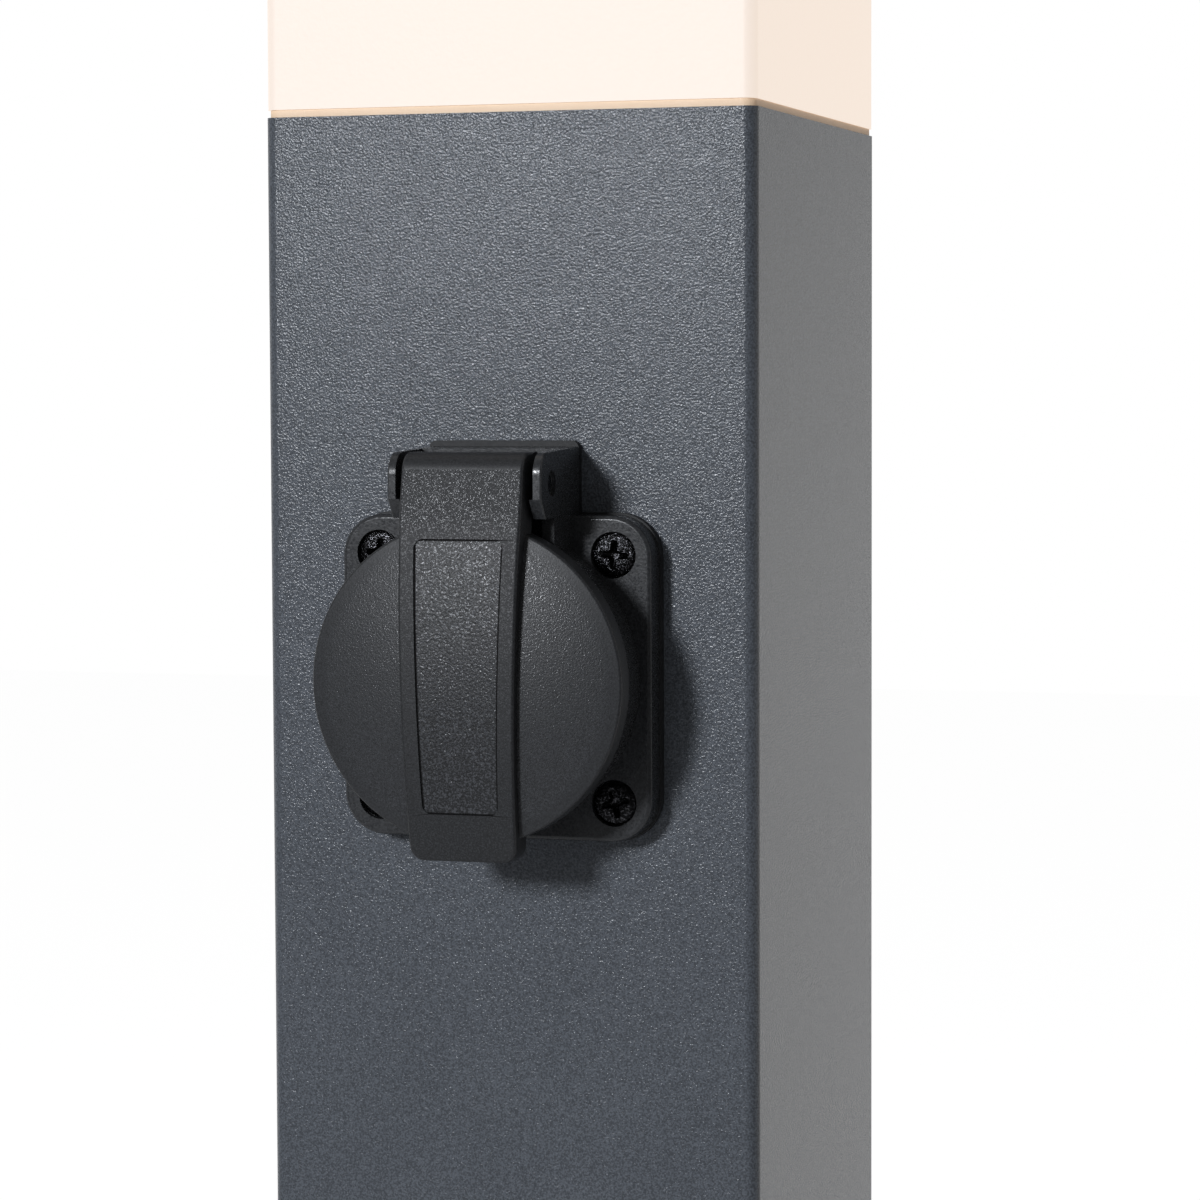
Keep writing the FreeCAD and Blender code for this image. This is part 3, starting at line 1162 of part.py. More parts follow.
def make_socket_lid():
    """The domed lid with its bowed strap, which turns over the hinge pin in a hollow roll."""
    body = new_body("socket_lid")
    hang_on_front(body)
    rim = "lid_outer / 2"
    dome = sketch_on(body, "XZ_Plane", "dome")
    draw_under_arc(dome, [
        ("0", "lid_front + lid_crown"), ("0", LID_BACK), (rim, LID_BACK), (rim, "lid_front"),
    ], "0", DOME_CENTRE, DOME_RADIUS)
    spin(body, dome)
    front = value_of("lid_front")
    round_edges(body, lambda box: close(box.ZMin, front) and close(box.ZMax, front), "lid_edge")
    strap = sketch_on(body, "XY_Plane", "strap", "strap_back")
    neck = "axis_rise - knuckle_radius"
    draw_polygon(strap, [
        ("-strap_half_top", neck), ("-strap_half_bottom", "-strap_bottom"),
        ("strap_half_bottom", "-strap_bottom"), ("strap_half_top", neck),
    ])
    pad(body, strap, "strap_front - strap_back")
    arm = sketch_on(body, "YZ_Plane", "arm")
    draw_polygon(arm, [
        ("axis_rise + knuckle_radius", "axis_front"),
        ("axis_rise + knuckle_radius", "strap_front"),
        (neck, "strap_front"),
        (neck, "strap_back"),
        ("axis_rise - knuckle_radius / 2", "axis_front"),
    ])
    pad(body, arm, "strap_half_top * 2", midplane=True)
    shape_strap(body)
    knuckle = sketch_on(body, "YZ_Plane", "knuckle")
    draw_circle(knuckle, "axis_rise", "axis_front", "knuckle_radius * 2")
    pad(body, knuckle, "strap_half_top * 2", midplane=True)
    hollow = sketch_on(body, "XZ_Plane", "hollow")
    ledge = "seal_inner / 2"
    mouth_radius = "lip_outer / 2 + lid_play"
    shell_radius = DOME_RADIUS + " - lid_shell"
    draw_under_arc(hollow, [
        ("0", "lid_front + lid_crown - lid_shell"), ("0", LID_BACK + " - through"),
        (mouth_radius, LID_BACK + " - through"),
        (mouth_radius, LID_CEILING), (ledge, LID_CEILING),
        (ledge, arc_height(ledge, "0", DOME_CENTRE, shell_radius)),
    ], "0", DOME_CENTRE, shell_radius)
    spin(body, hollow, "Groove")
    cut_hinge_room(body)
    cut_panel(body)
    return body


def shape_strap(body):
    """Bows the strap's front, rolls its upper end over the hinge and rounds its corners and edges."""
    bow = sketch_on(body, "YZ_Plane", "bow")
    draw_bow(bow, "-strap_bottom - through", "axis_rise + knuckle_radius + through", BOW_RADIUS,
             "strap_front + through")
    cut(body, bow, "lid_outer", midplane=True)
    top = value_of("axis_rise + knuckle_radius")
    bottom = -value_of("strap_bottom")
    axis = value_of("axis_front")
    crown = value_of("strap_front")

    def is_top_edge(box):
        return close(box.YMin, top) and close(box.YMax, top) and box.XLength > 1 and box.ZMin > axis + 1
    round_edges(body, is_top_edge, "strap_round")
    round_edges(body, lambda box: is_upright(box) and close(box.YMin, bottom), "strap_corner")
    round_edges(body, lambda box: close(box.ZMax, crown) and box.XLength < 1, "strap_edge")


def draw_bow(sketch, low, high, radius, level):
    """The area between the strap's bow, at a radius, and a straight line at a distance from the post."""
    lines = [
        (low, arc_height(low, "crown_rise", BOW_CENTRE, radius)), (low, level), (high, level),
        (high, arc_height(high, "crown_rise", BOW_CENTRE, radius)),
    ]
    draw_under_arc(sketch, lines, "crown_rise", BOW_CENTRE, radius)


def cut_hinge_room(body):
    """Hollows the roll for the spring, and drills it for the pin and for the spring's leg."""
    room = sketch_on(body, "YZ_Plane", "spring_room")
    draw_circle(room, "axis_rise", "axis_front", "spring_room_radius * 2")
    cut(body, room, "spring_room_half * 2", midplane=True)
    mouth = sketch_on(body, "YZ_Plane", "spring_mouth")
    draw_rectangle(mouth, "axis_rise - knuckle_radius - through", "axis_rise + knuckle_radius + through",
                   "axis_front - knuckle_radius - through", "axis_front")
    cut(body, mouth, "spring_room_half * 2", midplane=True)
    leg = sketch_on(body, "XZ_Plane", "leg_hole", "-axis_rise")
    draw_circle(leg, "-" + SPRING_LEFT, "axis_front + spring_mean / 2", "spring_hole")
    cut(body, leg, SPRING_TIP)
    bore = sketch_on(body, "YZ_Plane", "pin_bore")
    draw_circle(bore, "axis_rise", "axis_front", "pin_diameter + hinge_play")
    cut(body, bore, "strap_half_top * 2 + through", midplane=True)


def cut_panel(body):
    """Sinks the strap's panel by an even depth below the bow."""
    tool = new_body("panel_tool")
    outline = sketch_on(tool, "XY_Plane", "panel", "strap_back")
    draw_polygon(outline, [
        ("-panel_half_top", "panel_top"), ("-panel_half_bottom", "-panel_bottom"),
        ("panel_half_bottom", "-panel_bottom"), ("panel_half_top", "panel_top"),
    ])
    pad(tool, outline, "strap_front - strap_back + through")
    round_edges(tool, is_upright, "panel_corner")
    floor = sketch_on(tool, "YZ_Plane", "panel_floor")
    draw_bow(floor, "-strap_bottom", "axis_rise", BOW_RADIUS + " - panel_depth", "strap_back - through")
    cut(tool, floor, "lid_outer", midplane=True)
    before = body.Tip.Shape.Volume
    panel = body.newObject("PartDesign::Boolean", body.Name + "_panel")
    panel.Type = "Cut"
    panel.Group = [tool]
    settle(panel)
    if not panel.Shape.Volume < before:
        raise RuntimeError("the panel cuts nothing")


def make_lid_seal():
    body = new_body("lid_seal")
    hang_on_front(body)
    add_rods(body, [("0", "0")], "seal_outer", LID_CEILING + " - seal_thick", "seal_thick", "ring")
    cut_rods(body, [("0", "0")], "seal_inner", LID_CEILING + " - seal_thick", "seal_thick", "bore")
    return body


def biarc(start, start_way, finish, finish_way):
    """Two arcs that leave start and reach finish along the given directions."""
    chord = finish - start
    ways = start_way + finish_way
    lean = chord.dot(ways)
    spread = 2 * (1 - start_way.dot(finish_way))
    reach = (-lean + math.sqrt(lean ** 2 + spread * chord.dot(chord))) / spread
    first_corner = start + start_way * reach
    second_corner = finish - finish_way * reach
    middle = (first_corner + second_corner) * 0.5
    return [arc_round(start, first_corner, middle), arc_round(middle, second_corner, finish)]


def arc_round(start, corner, finish):
    """The arc from start to finish whose end tangents meet at the corner."""
    half_chord = (finish - start) * 0.5
    foot = start + half_chord
    side = corner - foot
    reach = (corner - start).Length
    share = half_chord.Length / reach
    rise = reach * share * (1 - share) / math.sqrt(1 - share ** 2)
    crown = foot + side * (rise / side.Length)
    return Part.Arc(start, crown, finish)


def make_lid_spring():
    """The torsion spring round the hinge pin: one wire, each leg held in a hole."""
    mean = value_of("spring_mean / 2")
    pitch = value_of("spring_pitch")
    wire = value_of("spring_wire")
    quarters = int(value_of("spring_turns")) * 4 + 1
    left = value_of(SPRING_LEFT)

    def at(quarter):
        angle = quarter * math.pi / 2
        return Vector(left + pitch * quarter / 4, -mean * math.cos(angle), mean * math.sin(angle))

    def way(quarter):
        angle = quarter * math.pi / 2
        climb = 0 if quarter in (0, quarters) else pitch / (2 * math.pi)
        return Vector(climb, mean * math.sin(angle), mean * math.cos(angle)).normalize()

    tail = at(0) - way(0) * value_of("axis_front - hinge_wall_front + spring_hole_depth - screw_play")
    tip = at(quarters) + way(quarters) * value_of(SPRING_TIP + " - screw_play")
    pieces = [Part.LineSegment(tail, at(0))]
    for quarter in range(quarters):
        pieces += biarc(at(quarter), way(quarter), at(quarter + 1), way(quarter + 1))
    pieces.append(Part.LineSegment(at(quarters), tip))
    spine = Part.Wire([piece.toShape() for piece in pieces])
    section = Part.Wire([Part.Circle(tail, way(0), wire / 2).toShape()])
    shell = Part.BRepOffsetAPI.MakePipeShell(spine)
    shell.add(section)
    shell.build()
    shell.makeSolid()
    print("lid spring: %.2f mm between turns" % (turn_distance(spine, mean) - wire))
    spring = document.addObject("Part::Feature", "lid_spring")
    spring.Label = "lid_spring"
    spring.Shape = shell.shape()
    centre = Vector(0, -value_of(POST_HALF + " + axis_front"), value_of(SOCKET_HEIGHT + " + axis_rise"))
    spring.Placement = Placement(centre, Rotation(Vector(1, 0, 0), 90))
    return spring


def turn_distance(spine, mean):
    """The least distance between two points of the wire's middle line half a turn or more apart."""
    points = spine.discretize(600)
    step = spine.Length / 600
    apart = int(math.pi * mean / step)
    return min(first.distanceToPoint(second)
               for index, first in enumerate(points) for second in points[index + apart:])


# Lamp head
def make_frame(name, low, thick, inset, width, corner):
    """A flat square ring between two pieces of the head."""
    body = new_body(name)
    stand_at(body, up=low)
    outer = "(post_side / 2 - %s)" % inset
    inner = "(post_side / 2 - %s - %s)" % (inset, width)
    outline = sketch_on(body, "XY_Plane", "outline")
    draw_rectangle(outline, "-" + outer, outer, "-" + outer, outer)
    pad(body, outline, thick)
    round_edges(body, is_upright, corner)
    window = sketch_on(body, "XY_Plane", "window")
    draw_rectangle(window, "-" + inner, inner, "-" + inner, inner)
    cut(body, window, thick, forward=True)
    return body


def make_head_gasket():
    body = make_frame("head_gasket", POST_TOP, "seal_frame_thick", "seal_frame_inset", "seal_frame_width",
                      "post_corner")
    cut_rods(body, four_corners(PORT_PLACE), "tube_bore", "0", "seal_frame_thick", "tie_holes")
    return body


def make_head_plate():
    body = new_body("head_plate")
    stand_at(body, up=HEAD_FLOOR)
    half = "(post_side / 2 - diffuser_inset - diffuser_wall - head_plate_play)"
    outline = sketch_on(body, "XY_Plane", "outline")
    draw_rectangle(outline, "-" + half, half, "-" + half, half)
    pad(body, outline, "head_plate_thick")
    round_edges(body, is_upright, "diffuser_corner")
    thick = "head_plate_thick"
    cut_rods(body, four_corners(PORT_PLACE), "tube_bore", "0", thick, "tie_holes")
    cut_rods(body, [("0", "0")], "head_window", "0", thick, "wire_hole")
    cut_rods(body, HOLDER_FEET, "holder_screw + screw_play", "0", thick, "holder_holes")
    return body


HOLDER_FEET = [("%d * (strap_bracket_span / 2 + strap_bracket_foot / 2)" % side, "0") for side in (-1, 1)]


def make_spacer_tubes():
    body = new_body("spacer_tubes")
    stand_at(body, up=HEAD_TOP)
    length = "(diffuser_height + cap_seal_thick - head_plate_thick - cap_boss_drop)"
    add_rods(body, four_corners(PORT_PLACE), "tube_outer", "0", length, "tubes")
    cut_rods(body, four_corners(PORT_PLACE), "tube_bore", "0", length, "bores")
    return body


def make_tie_screws():
    """Four long screws from the cap's top through the head into the post's ports."""
    body = new_body("tie_screws")
    stand_at(body, up=CAP_TOP)
    places = four_corners(PORT_PLACE)
    shank = "(port_hole - screw_play)"
    length = "(%s - %s + tie_grip)" % (CAP_TOP, POST_TOP)
    cone = "((tie_head - screw_play - %s) / 2 - screw_play)" % shank
    add_rods(body, places, shank, "-" + length, length)
    add_rods(body, places, "tie_head - screw_play", "-(%s + screw_play / 2)" % cone,
             cone + " + screw_play / 2", "heads")
    low = -value_of(cone + " + screw_play / 2")
    head = value_of("tie_head - screw_play")
    bevel_edges(body, lambda box: close(box.ZMin, low) and close(box.XLength, head), cone)
    return body


def make_lampholder_bracket():
    body = new_body("lampholder_bracket")
    stand_at(body, up=HEAD_TOP)
    bend = sketch_on(body, "XZ_Plane", "bend")
    span = "(strap_bracket_span / 2)"
    foot = "(strap_bracket_span / 2 + strap_bracket_foot)"
    sheet = "strap_bracket_thick"
    rise = "strap_bracket_rise"
    draw_polygon(bend, [
        ("-" + foot, "0"), ("-%s + %s" % (span, sheet), "0"),
        ("-%s + %s" % (span, sheet), "%s - %s" % (rise, sheet)),
        ("%s - %s" % (span, sheet), "%s - %s" % (rise, sheet)), ("%s - %s" % (span, sheet), "0"),
        (foot, "0"), (foot, sheet), (span, sheet), (span, rise), ("-" + span, rise),
        ("-" + span, sheet), ("-" + foot, sheet),
    ])
    pad(body, bend, "strap_bracket_width", midplane=True)
    high = value_of(rise)
    wide = value_of(span)
    round_edges(body,
                lambda box: close(box.ZMin, high) and close(abs(box.Center.x), wide) and box.YLength > 1,
                "strap_bracket_thick")
    cut_rods(body, [("0", "0")], "nipple_diameter + screw_play", "0",
             "strap_bracket_rise + through", "nipple_hole")
    cut_rods(body, HOLDER_FEET, "holder_screw + screw_play", "0",
             "strap_bracket_thick + through", "foot_holes")
    return body


def make_holder_screws():
    body = new_body("holder_screws")
    stand_at(body, up=HEAD_TOP)
    seat = "strap_bracket_thick"
    add_rods(body, HOLDER_FEET, "holder_screw", "-head_plate_thick - holder_screw_tail",
             "head_plate_thick + holder_screw_tail + through + " + seat)
    add_rods(body, HOLDER_FEET, "holder_screw_head", seat, "holder_screw_head_thick", "heads")
    return body


def make_holder_nipple():
    """The hollow threaded nipple that joins bracket and lampholder, with its nut below."""
    body = new_body("holder_nipple")
    stand_at(body, up=HOLDER_BOTTOM)
    low = "-(strap_bracket_thick + nipple_nut_thick + nipple_tail)"
    add_rods(body, [("0", "0")], "nipple_diameter", low, "nipple_length", "tube")
    nut = sketch_on(body, "XY_Plane", "nut", "-(strap_bracket_thick + nipple_nut_thick)")
    draw_hexagon(nut, "0", "0", "nipple_nut_flats")
    pad(body, nut, "nipple_nut_thick")
    cut_rods(body, [("0", "0")], "nipple_bore", low, "nipple_length + through", "bore")
    return body


def make_lampholder():
    body = new_body("lampholder")
    stand_at(body, up=HOLDER_BOTTOM)
    foot = "holder_foot / 2"
    mouth = "holder_mouth / 2"
    floor = "(holder_height - holder_bore_depth)"
    turn(body, [
        ("nipple_diameter / 2 + screw_play / 2", "0"),
        (foot + " - holder_bevel", "0"), (foot, "holder_bevel"), (foot, "holder_height / 3"),
        (mouth, "holder_height / 2"), (mouth, "holder_height - holder_lip"),
        (mouth + " - holder_lip", "holder_height"),
        ("holder_bore / 2", "holder_height"), ("holder_bore / 2", floor),
        ("nipple_diameter / 2 + screw_play / 2", floor),
    ])
    return body


def make_thread_shell():
    body = new_body("thread_shell")
    stand_at(body, up=HOLDER_BOTTOM + " + holder_height - holder_bore_depth")
    low = "holder_bore_depth - shell_length - shell_sink"
    add_rods(body, [("0", "0")], "shell_outer", low, "shell_length", "shell")
    cut_rods(body, [("0", "0")], "shell_bore", low, "shell_length", "bore")
    return body


def make_centre_contact():
    """The lampholder's ceramic core with its middle contact."""
    body = new_body("centre_contact")
    stand_at(body, up=HOLDER_BOTTOM + " + holder_height - holder_bore_depth")
    turn(body, [
        ("0", "0"), ("holder_bore / 2 - core_rim", "0"), ("holder_bore / 2 - core_rim", "core_disc"),
        ("eyelet_diameter / 2", "core_disc"), ("eyelet_diameter / 2", LAMP_END + " - contact_tip_gap"),
        ("0", LAMP_END + " - contact_tip_gap"),
    ])
    return body


LAMP_END = "(holder_bore_depth - shell_length)"
LAMP_BOTTOM = HOLDER_BOTTOM + " + holder_height - shell_length"


def make_lamp_cap():
    body = new_body("lamp_cap")
    stand_at(body, up=LAMP_BOTTOM)
    outer = "lamp_cap_diameter / 2"
    turn(body, [
        ("0", "0"), ("eyelet_diameter / 2", "0"), ("eyelet_diameter / 2 + eyelet_flare", "eyelet_height"),
        (outer + " - cap_shoulder_inset", "cap_shoulder_low"), (outer, "cap_shoulder_high"),
        (outer, "lamp_cap_length"), (outer + " - lamp_cap_wall", "lamp_cap_length"),
        (outer + " - lamp_cap_wall", "cap_inside_high"), ("0", "cap_inside_low"),
    ])
    return body


def make_lamp_body():
    """The lamp's tapered housing, a shell that stands in its screw cap."""
    body = new_body("lamp_body")
    stand_at(body, up=LAMP_BOTTOM + " + lamp_cap_length")
    plug = "lamp_cap_diameter / 2 - lamp_cap_wall - screw_play"
    turn(body, [
        ("0", "-lamp_plug"), (plug, "-lamp_plug"), (plug, "lamp_rim_gap"),
        ("lamp_neck / 2 - lamp_foot_inset", "lamp_rim_gap"), ("lamp_neck / 2", "lamp_neck_height"),
        ("lamp_neck / 2 + lamp_neck_swell", "lamp_body_length / 3"),
        ("lamp_waist / 2 - lamp_waist_inset", "lamp_body_length * 3 / 4"),
        ("lamp_waist / 2", "lamp_body_length"),
        ("0", "lamp_body_length"),
    ])
    return body


def make_lamp_globe():
    """The lamp's domed cover, a hollow part of a sphere."""
    body = new_body("lamp_globe")
    stand_at(body, up=LAMP_BOTTOM + " + lamp_cap_length + lamp_body_length")
    radius = "(globe_diameter / 2)"
    drop = "sqrt(%s ^ 2 - (lamp_waist / 2) ^ 2)" % radius
    sketch = sketch_on(body, "XZ_Plane", "dome")
    draw_dome(sketch, drop, radius)
    spin(body, sketch)
    return body


def draw_dome(sketch, rise, radius):
    """Half the section of a hollow dome: two arcs about a centre at the given height."""
    centre = Vector(0, value_of(rise), 0)
    outer = value_of(radius)
    inner = value_of("%s - globe_wall" % radius)
    low_outer = -math.asin(value_of(rise) / outer)
    low_inner = -math.asin(value_of(rise) / inner)
    straight_up = math.pi / 2
    whole = Vector(0, 0, 1)
    sketch.addGeometry(Part.ArcOfCircle(Part.Circle(centre, whole, outer), low_outer, straight_up), False)
    sketch.addGeometry(Part.ArcOfCircle(Part.Circle(centre, whole, inner), low_inner, straight_up), False)
    foot_outer = Vector(outer * math.cos(low_outer), 0, 0)
    foot_inner = Vector(inner * math.cos(low_inner), 0, 0)
    sketch.addGeometry(Part.LineSegment(foot_inner, foot_outer), False)
    left = Part.LineSegment(Vector(0, centre.y + outer, 0), Vector(0, centre.y + inner, 0))
    sketch.addGeometry(left, False)
    for pair in ((0, 1, 2, 2), (1, 1, 2, 1), (0, 2, 3, 1), (1, 2, 3, 2), (0, 3, 1, 3)):
        sketch.addConstraint(Sketcher.Constraint("Coincident", *pair))
    sketch.addConstraint(Sketcher.Constraint("PointOnObject", 2, 1, -1))
    sketch.addConstraint(Sketcher.Constraint("Horizontal", 2))
    sketch.addConstraint(Sketcher.Constraint("PointOnObject", 3, 1, -2))
    sketch.addConstraint(Sketcher.Constraint("Vertical", 3))
    hold_point(sketch, 0, 3, "0", rise)
    hold(sketch, "Radius", (0,), radius)
    hold(sketch, "Radius", (1,), "%s - globe_wall" % radius)


def make_diffuser():
    body = new_body("diffuser")
    stand_at(body, up=HEAD_FLOOR)
    half = DIFFUSER_HALF
    inner = "(post_side / 2 - diffuser_inset - diffuser_wall)"
    outline = sketch_on(body, "XY_Plane", "outline")
    draw_rectangle(outline, "-" + half, half, "-" + half, half)
    pad(body, outline, "diffuser_height")
    round_edges(body, is_upright, "diffuser_corner")
    hollow = sketch_on(body, "XY_Plane", "hollow")
    draw_rectangle(hollow, "-" + inner, inner, "-" + inner, inner)
    cut(body, hollow, "diffuser_height", forward=True)
    return body


def make_top_cap():
    body = new_body("top_cap")
    stand_at(body, up=CAP_BOTTOM)
    outline = sketch_on(body, "XY_Plane", "outline")
    draw_rectangle(outline, "-" + POST_HALF, POST_HALF, "-" + POST_HALF, POST_HALF)
    pad(body, outline, "cap_height")
    round_edges(body, is_upright, "diffuser_corner")
    top = value_of("cap_height")
    round_edges(body, lambda box: close(box.ZMin, top), "cap_edge")
    hollow = sketch_on(body, "XY_Plane", "hollow")
    inner = "(post_side / 2 - cap_rim)"
    draw_rectangle(hollow, "-" + inner, inner, "-" + inner, inner)
    cut(body, hollow, "cap_height - cap_wall", forward=True)
    places = four_corners(PORT_PLACE)
    roof = "cap_height - cap_wall + through"
    add_rods(body, places, "cap_boss", "-cap_boss_drop", "cap_boss_drop + " + roof, "bosses")
    cut_rods(body, places, "tube_bore", "-cap_boss_drop", "cap_boss_drop + cap_height + through", "tie_holes")
    head = value_of("tube_bore")

    def is_mouth(box):
        return close(box.ZMin, top) and close(box.ZMax, top) and close(box.XLength, head)
    bevel_edges(body, is_mouth, "(tie_head - tube_bore) / 2")
    return body


# Wires inside the post
def make_wires(name, routes, bend):
    """Insulated wires along straight runs and arcs; each route is a list of points."""
    radius = value_of("wire_diameter") / 2
    solids = []
    for points in routes:
        edges = []
        start = points[0]
        for before, corner, after in zip(points, points[1:], points[2:]):
            arriving = (corner - before).normalize()
            leaving = (after - corner).normalize()
            half_turn = arriving.getAngle(leaving) / 2
            reach = bend * math.tan(half_turn)
            first = corner - arriving * reach
            last = corner + leaving * reach
            edges.append(Part.LineSegment(start, first).toShape())
            edges.append(arc_round(first, corner, last).toShape())
            start = last
        edges.append(Part.LineSegment(start, points[-1]).toShape())
        spine = Part.Wire(edges)
        way = (points[1] - points[0]).normalize()
        shell = Part.BRepOffsetAPI.MakePipeShell(spine)
        shell.add(Part.Wire([Part.Circle(points[0], way, radius).toShape()]))
        shell.build()
        shell.makeSolid()
        solid = shell.shape()
        expected = math.pi * radius ** 2 * spine.Length
        print("%s: length %.0f mm, volume %.4f of section times length"
              % (name, spine.Length, solid.Volume / expected))
        solids.append(solid)
    wires = document.addObject("Part::Feature", name)
    wires.Label = name
    wires.Shape = Part.makeCompound(solids)
    return wires


def rise_from_block(pole, side, target, height):
    """The first part of a wire's route: out of a pole's top, then over to its target and up."""
    across = pole * value_of("pole_pitch") + side * value_of("(wire_diameter + wire_gap) / 2")
    back = value_of("bracket_back - bracket_thick - core_depth")
    low = value_of("%s + block_height * 3 / 4" % BLOCK_BOTTOM)
    return [
        Vector(across, back, low),
        Vector(across, back, low + value_of("wire_lean_rise")),
        Vector(target, back, height / 2),
        Vector(target, back, height),
    ]


def make_socket_wires():
    """Line, earth and neutral from the terminal block up to the socket's terminals."""
    height = value_of(SOCKET_HEIGHT)
    end = value_of("-%s - %s - wire_grip" % (POST_HALF, TERMINAL_BACK))
    reach = value_of("pin_pitch / 2")
    routes = []
    for pole, side in ((-1, -1), (0, -1), (1, 1)):
        route = rise_from_block(pole, side, pole * reach, height)
        routes.append(route + [Vector(pole * reach, end, height)])
    return make_wires("socket_wires", routes, value_of("wire_bend"))


def make_lamp_wires():
    """Line and neutral from the outer poles past the socket and up through the nipple."""
    turn_height = value_of(SOCKET_HEIGHT + " + lamp_wire_turn")
    middle_height = value_of(POST_TOP + " - lamp_wire_top")
    top = value_of(HOLDER_BOTTOM + " + holder_height - holder_bore_depth - screw_play")
    beside = value_of("(wire_diameter + wire_gap) / 2")
    lane = value_of("pin_pitch / 4")
    routes = []
    for pole in (-1, 1):
        route = rise_from_block(pole, -pole, pole * lane, turn_height)
        route.append(Vector(pole * beside, 0, middle_height))
        route.append(Vector(pole * beside, 0, top))
        routes.append(route)
    return make_wires("lamp_wires", routes, value_of("wire_bend"))


def make_earth_lead():
    """The short wire from the middle pole, behind the others, to the lug on the earth bolt."""
    bend = value_of("lead_bend")
    across = value_of("(wire_diameter + wire_gap) / 2")
    back = value_of("bracket_back - bracket_thick - core_depth")
    low = value_of("%s + block_height * 3 / 4" % BLOCK_BOTTOM)
    leave = value_of("%s + block_height + lead_rise" % BLOCK_BOTTOM)
    lug_side = value_of("earth_bolt_side")
    lug_back = value_of("bracket_back - bracket_thick - washer_thick - lug_barrel / 2")
    lug_low = value_of("base_thick + earth_bolt_rise - lug_length")
    route = [
        Vector(across, back, low),
        Vector(across, back, leave),
        Vector(across + bend / 2, lug_back, leave + bend),
        Vector(lug_side, lug_back, lug_low - bend),
        Vector(lug_side, lug_back, lug_low + bend / 2),
    ]
    return make_wires("earth_lead", [route], bend)


def export(things):
    """Checks every object of the document, then writes one STEP file for each sub-part."""
    document.recompute()
    faults = []
    for thing in document.Objects:
        if "Invalid" in thing.State or "Error" in thing.State:
            faults.append("%s is %s" % (thing.Name, thing.State))
    for thing in things:
        shape = thing.Shape
        if shape.isNull() or not shape.isValid() or not shape.Solids:
            faults.append("%s has no sound solid" % thing.Label)
    if faults:
        raise RuntimeError("; ".join(faults))
    os.makedirs("parts", exist_ok=True)
    for thing in things:
        thing.Shape.exportStep(os.path.join("parts", thing.Label + ".step"))
        box = thing.Shape.BoundBox
        print("%-20s %d solids, %d faces, x %.1f..%.1f y %.1f..%.1f z %.1f..%.1f" % (
            thing.Label, len(thing.Shape.Solids), len(thing.Shape.Faces),
            box.XMin, box.XMax, box.YMin, box.YMax, box.ZMin, box.ZMax))


pieces = [
    make_base_plate(),
    make_foot_screws(),
    make_cable_grommet(),
    make_post_profile(),
    make_terminal_bracket(),
    make_bracket_screws(),
    make_terminal_block(),
    make_terminal_cores(),
    make_terminal_screws(),
    make_small_screws("block_screws", BLOCK_SCREWS, "block_base_depth", BLOCK_BOTTOM),
    make_cable_clamp(),
    make_small_screws("clamp_screws", CLAMP_SCREWS, "clamp_thick", "base_thick + clamp_rise"),
    make_earth_bolt(),
    make_earth_lug(),
    make_earth_nuts(),
    make_socket_gasket(),
    make_socket_housing(),
    make_socket_floor(),
    make_child_shutter(),
    make_contact_carrier(),
    make_pin_contacts(),
    make_earth_clip(),
    make_contact_screws(),
    make_rear_cover(),
    make_cover_screws(),
    make_flange_screws(),
    make_flange_nuts(),
    make_hinge_pin(),
    make_lid_spring(),
    make_socket_lid(),
    make_lid_seal(),
    make_head_gasket(),
    make_head_plate(),
    make_spacer_tubes(),
    make_tie_screws(),
    make_lampholder_bracket(),
    make_holder_screws(),
    make_holder_nipple(),
    make_lampholder(),
    make_thread_shell(),
    make_centre_contact(),
    make_lamp_cap(),
    make_lamp_body(),
    make_lamp_globe(),
    make_diffuser(),
    make_frame("cap_gasket", CAP_SEAT, "cap_seal_thick", "diffuser_inset", "diffuser_wall",
               "diffuser_corner"),
    make_top_cap(),
    make_socket_wires(),
    make_lamp_wires(),
    make_earth_lead(),
]
export(pieces)
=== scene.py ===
# %% [markdown]
# # A garden lamp post with a socket
# This lesson dresses a finished model of a garden post: a square powder-coated tube with an outdoor
# socket on its front and a lit opal head on its top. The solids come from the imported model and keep
# their places. Here they get their finishes, their light and a camera, and a few pieces get detail
# that the solids don't have, such as the crosses in the screw heads.

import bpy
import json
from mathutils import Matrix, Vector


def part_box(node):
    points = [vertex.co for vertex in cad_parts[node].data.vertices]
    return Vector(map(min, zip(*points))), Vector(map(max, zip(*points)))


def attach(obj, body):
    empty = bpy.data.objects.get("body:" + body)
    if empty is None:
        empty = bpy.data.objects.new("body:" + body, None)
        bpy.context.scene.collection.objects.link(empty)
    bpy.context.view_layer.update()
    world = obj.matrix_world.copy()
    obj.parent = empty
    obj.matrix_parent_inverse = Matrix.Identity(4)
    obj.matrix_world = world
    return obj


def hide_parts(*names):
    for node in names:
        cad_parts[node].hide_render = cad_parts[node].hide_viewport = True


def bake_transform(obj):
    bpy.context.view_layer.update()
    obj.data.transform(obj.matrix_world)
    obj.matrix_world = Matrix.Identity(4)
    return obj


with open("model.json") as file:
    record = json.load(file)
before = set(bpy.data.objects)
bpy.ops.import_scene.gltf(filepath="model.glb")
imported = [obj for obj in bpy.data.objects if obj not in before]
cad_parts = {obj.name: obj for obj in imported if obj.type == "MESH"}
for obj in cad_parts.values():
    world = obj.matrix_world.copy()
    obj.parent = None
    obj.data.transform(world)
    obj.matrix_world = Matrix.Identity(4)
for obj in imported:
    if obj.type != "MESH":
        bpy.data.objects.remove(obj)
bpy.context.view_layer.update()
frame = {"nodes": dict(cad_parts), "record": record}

# %% Tools of Blender
import json
import math

import bmesh
import bpy
from mathutils import Matrix, Vector

MM = 0.001
scene = bpy.context.scene
nodes = frame["nodes"]
print("%d nodes to dress" % len(nodes))

